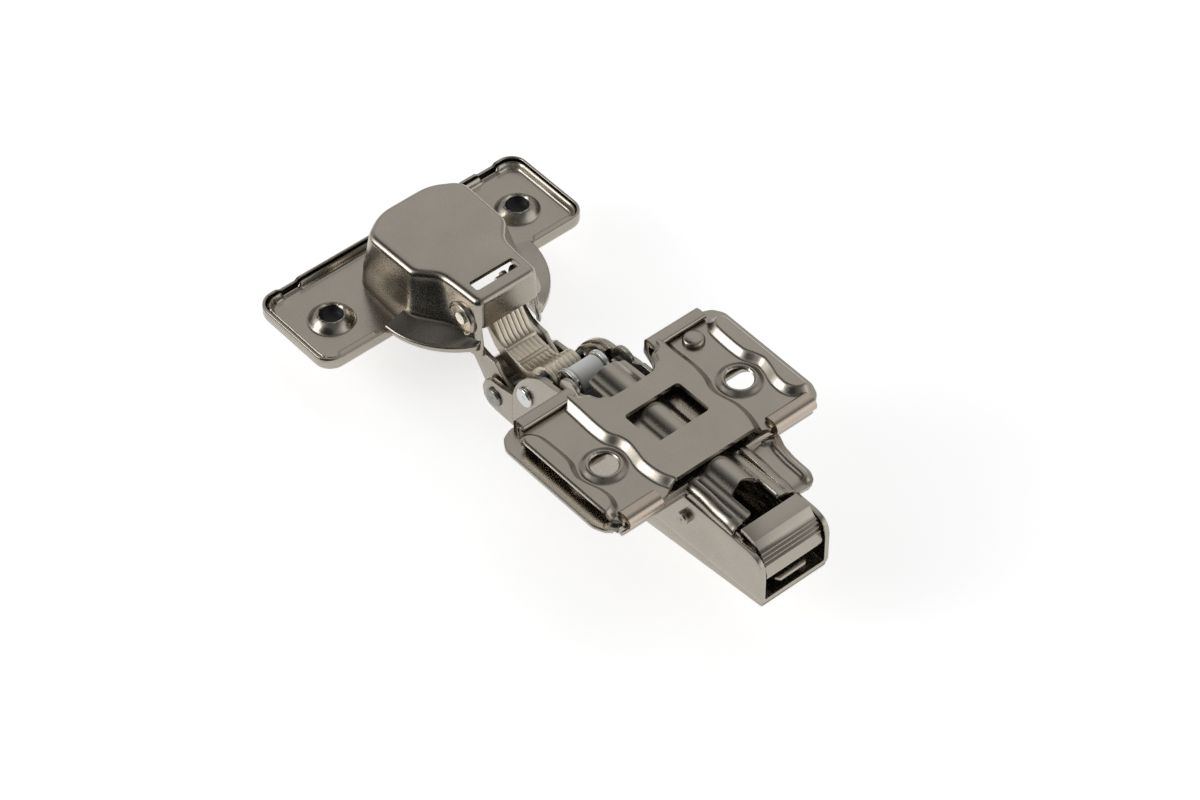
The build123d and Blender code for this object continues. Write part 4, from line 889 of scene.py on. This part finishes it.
# Camera: fitted to the photograph
view_direction = Vector((0.5202, -0.4451, 0.7289)).normalized()
azimuth = math.radians(49.45)
right = Vector((math.cos(azimuth), math.sin(azimuth), 0))
up = view_direction.cross(right)
camera_data = bpy.data.cameras.new("camera")
camera_data.lens = 124.8
camera_data.sensor_width = 36.0
camera_data.clip_start = 0.01
camera = bpy.data.objects.new("camera", camera_data)
camera_place = Matrix.Translation(Vector((0.3736, -0.3366, 0.5397)))
camera.matrix_world = camera_place @ Matrix((right, up, view_direction)).transposed().to_4x4()
bpy.context.scene.collection.objects.link(camera)
bpy.context.scene.camera = camera

# Floor: plain white, with the object's own soft shadow
floor_z = cad_box[0].z / MM - 0.02
floor_material = bpy.data.materials.new("white_paper")
floor_material.use_nodes = True
floor_tree = floor_material.node_tree
floor_tree.nodes.clear()
ray = add_node(floor_tree, "ShaderNodeLightPath")
paper = add_node(floor_tree, "ShaderNodeBsdfDiffuse", None, Color=hex_linear("#F4F4F4"))
glow = add_node(floor_tree, "ShaderNodeEmission", None, Color=(1, 1, 1, 1), Strength=0.62)
seen = add_node(floor_tree, "ShaderNodeMath", {"operation": "MAXIMUM"},
                i0=ray.outputs["Is Camera Ray"], i1=ray.outputs["Is Glossy Ray"])
lit = add_node(floor_tree, "ShaderNodeAddShader", None, i0=paper.outputs[0], i1=glow.outputs[0])
choice = add_node(floor_tree, "ShaderNodeMixShader", None,
                  Fac=seen.outputs[0], i1=paper.outputs[0], i2=lit.outputs[0])
floor_output = add_node(floor_tree, "ShaderNodeOutputMaterial", None, Surface=choice.outputs[0])
far_out = 3000
floor_corners = [(x, y, floor_z) for x, y in ((-far_out, -far_out), (far_out, -far_out),
                                              (far_out, far_out), (-far_out, far_out))]
floor = make_mesh("floor", floor_corners, [[0, 1, 2, 3]], floor_material)

# Studio light: a grey tent with bright patches left, right and behind, dark ones between, and one lamp
world = bpy.data.worlds.new("studio")
bpy.context.scene.world = world
world.use_nodes = True
world_tree = world.node_tree
world_tree.nodes.clear()
direction = add_node(world_tree, "ShaderNodeTexCoord").outputs["Generated"]
level = add_node(world_tree, "ShaderNodeValue").outputs[0]
level.default_value = 0.5
# Each patch has a direction, the cosines at which it is full and gone, and what it adds
patches = (((-0.52, 0.44, 0.73), 0.98, 0.80, 0.22),
           ((-0.50, -0.78, 0.38), 0.96, 0.84, 0.9),
           ((-0.52, -0.47, 0.70), 0.985, 0.90, -0.38),
           ((0.52, -0.445, 0.73), 0.96, 0.78, -0.34),
           ((0.50, 0.42, 0.76), 0.97, 0.84, -0.30),
           ((0.74, 0.56, 0.36), 0.97, 0.84, 0.75),
           ((-0.05, -0.15, 0.98), 0.985, 0.90, -0.25),
           ((-0.50, -0.06, 0.86), 0.985, 0.90, -0.42),
           ((-0.15, -0.98, 0.0), 0.90, 0.62, -0.46),
           ((0.45, -0.89, 0.05), 0.92, 0.70, -0.46))
for lobe, inner, outer, gain in patches:
    toward = add_node(world_tree, "ShaderNodeVectorMath", {"operation": "DOT_PRODUCT"},
                      i0=direction, i1=Vector(lobe).normalized())
    spot = add_node(world_tree, "ShaderNodeMapRange", {"interpolation_type": "SMOOTHSTEP"},
                    Value=toward.outputs["Value"], From_Min=outer, From_Max=inner, To_Min=0.0, To_Max=gain)
    total = add_node(world_tree, "ShaderNodeMath", {"operation": "ADD"}, i0=level, i1=spot.outputs[0])
    level = total.outputs[0]
level = add_node(world_tree, "ShaderNodeMath", {"operation": "MAXIMUM"}, i0=level, i1=0.02).outputs[0]
tent = add_node(world_tree, "ShaderNodeBackground", None, Color=(1, 1, 1, 1), Strength=level)
add_node(world_tree, "ShaderNodeOutputWorld", None, Surface=tent.outputs[0])


def softbox(name, place, aim, size, power):
    """A square lamp that faces a point, both in millimetres."""
    data = bpy.data.lights.new(name, "AREA")
    data.shape = "RECTANGLE"
    data.size, data.size_y = size[0] * MM, size[1] * MM
    data.energy = power
    lamp = bpy.data.objects.new(name, data)
    lamp.location = Vector(place) * MM
    lamp.rotation_euler = (Vector(place) - Vector(aim)).to_track_quat("Z", "Y").to_euler()
    bpy.context.scene.collection.objects.link(lamp)


softbox("key", (-360, -590, 270), (-20, 0, -10), (320, 320), 1.3)

CARD, card_tree, card_shader = shader_material("black_felt")
card_shader.inputs["Base Color"].default_value = hex_linear("#0C0B0A")
card_shader.inputs["Roughness"].default_value = 0.9


def dark_card(name, corners):
    """A black card beside the object, which only mirrors show: it gives the plating its dark reflections."""
    card = make_mesh(name, corners, [[0, 1, 2, 3]], CARD)
    card.visible_camera = False
    card.visible_diffuse = False
    card.visible_shadow = False


low, far = floor_z + 0.2, floor_z + 32.0
dark_card("card_near", [(-190, -48, low), (150, -48, low), (150, -120, low), (-190, -120, low)])
dark_card("card_far", [(-190, -120, low), (150, -120, low), (150, -130, far), (-190, -130, far)])

bpy.context.scene.view_settings.view_transform = "Standard"
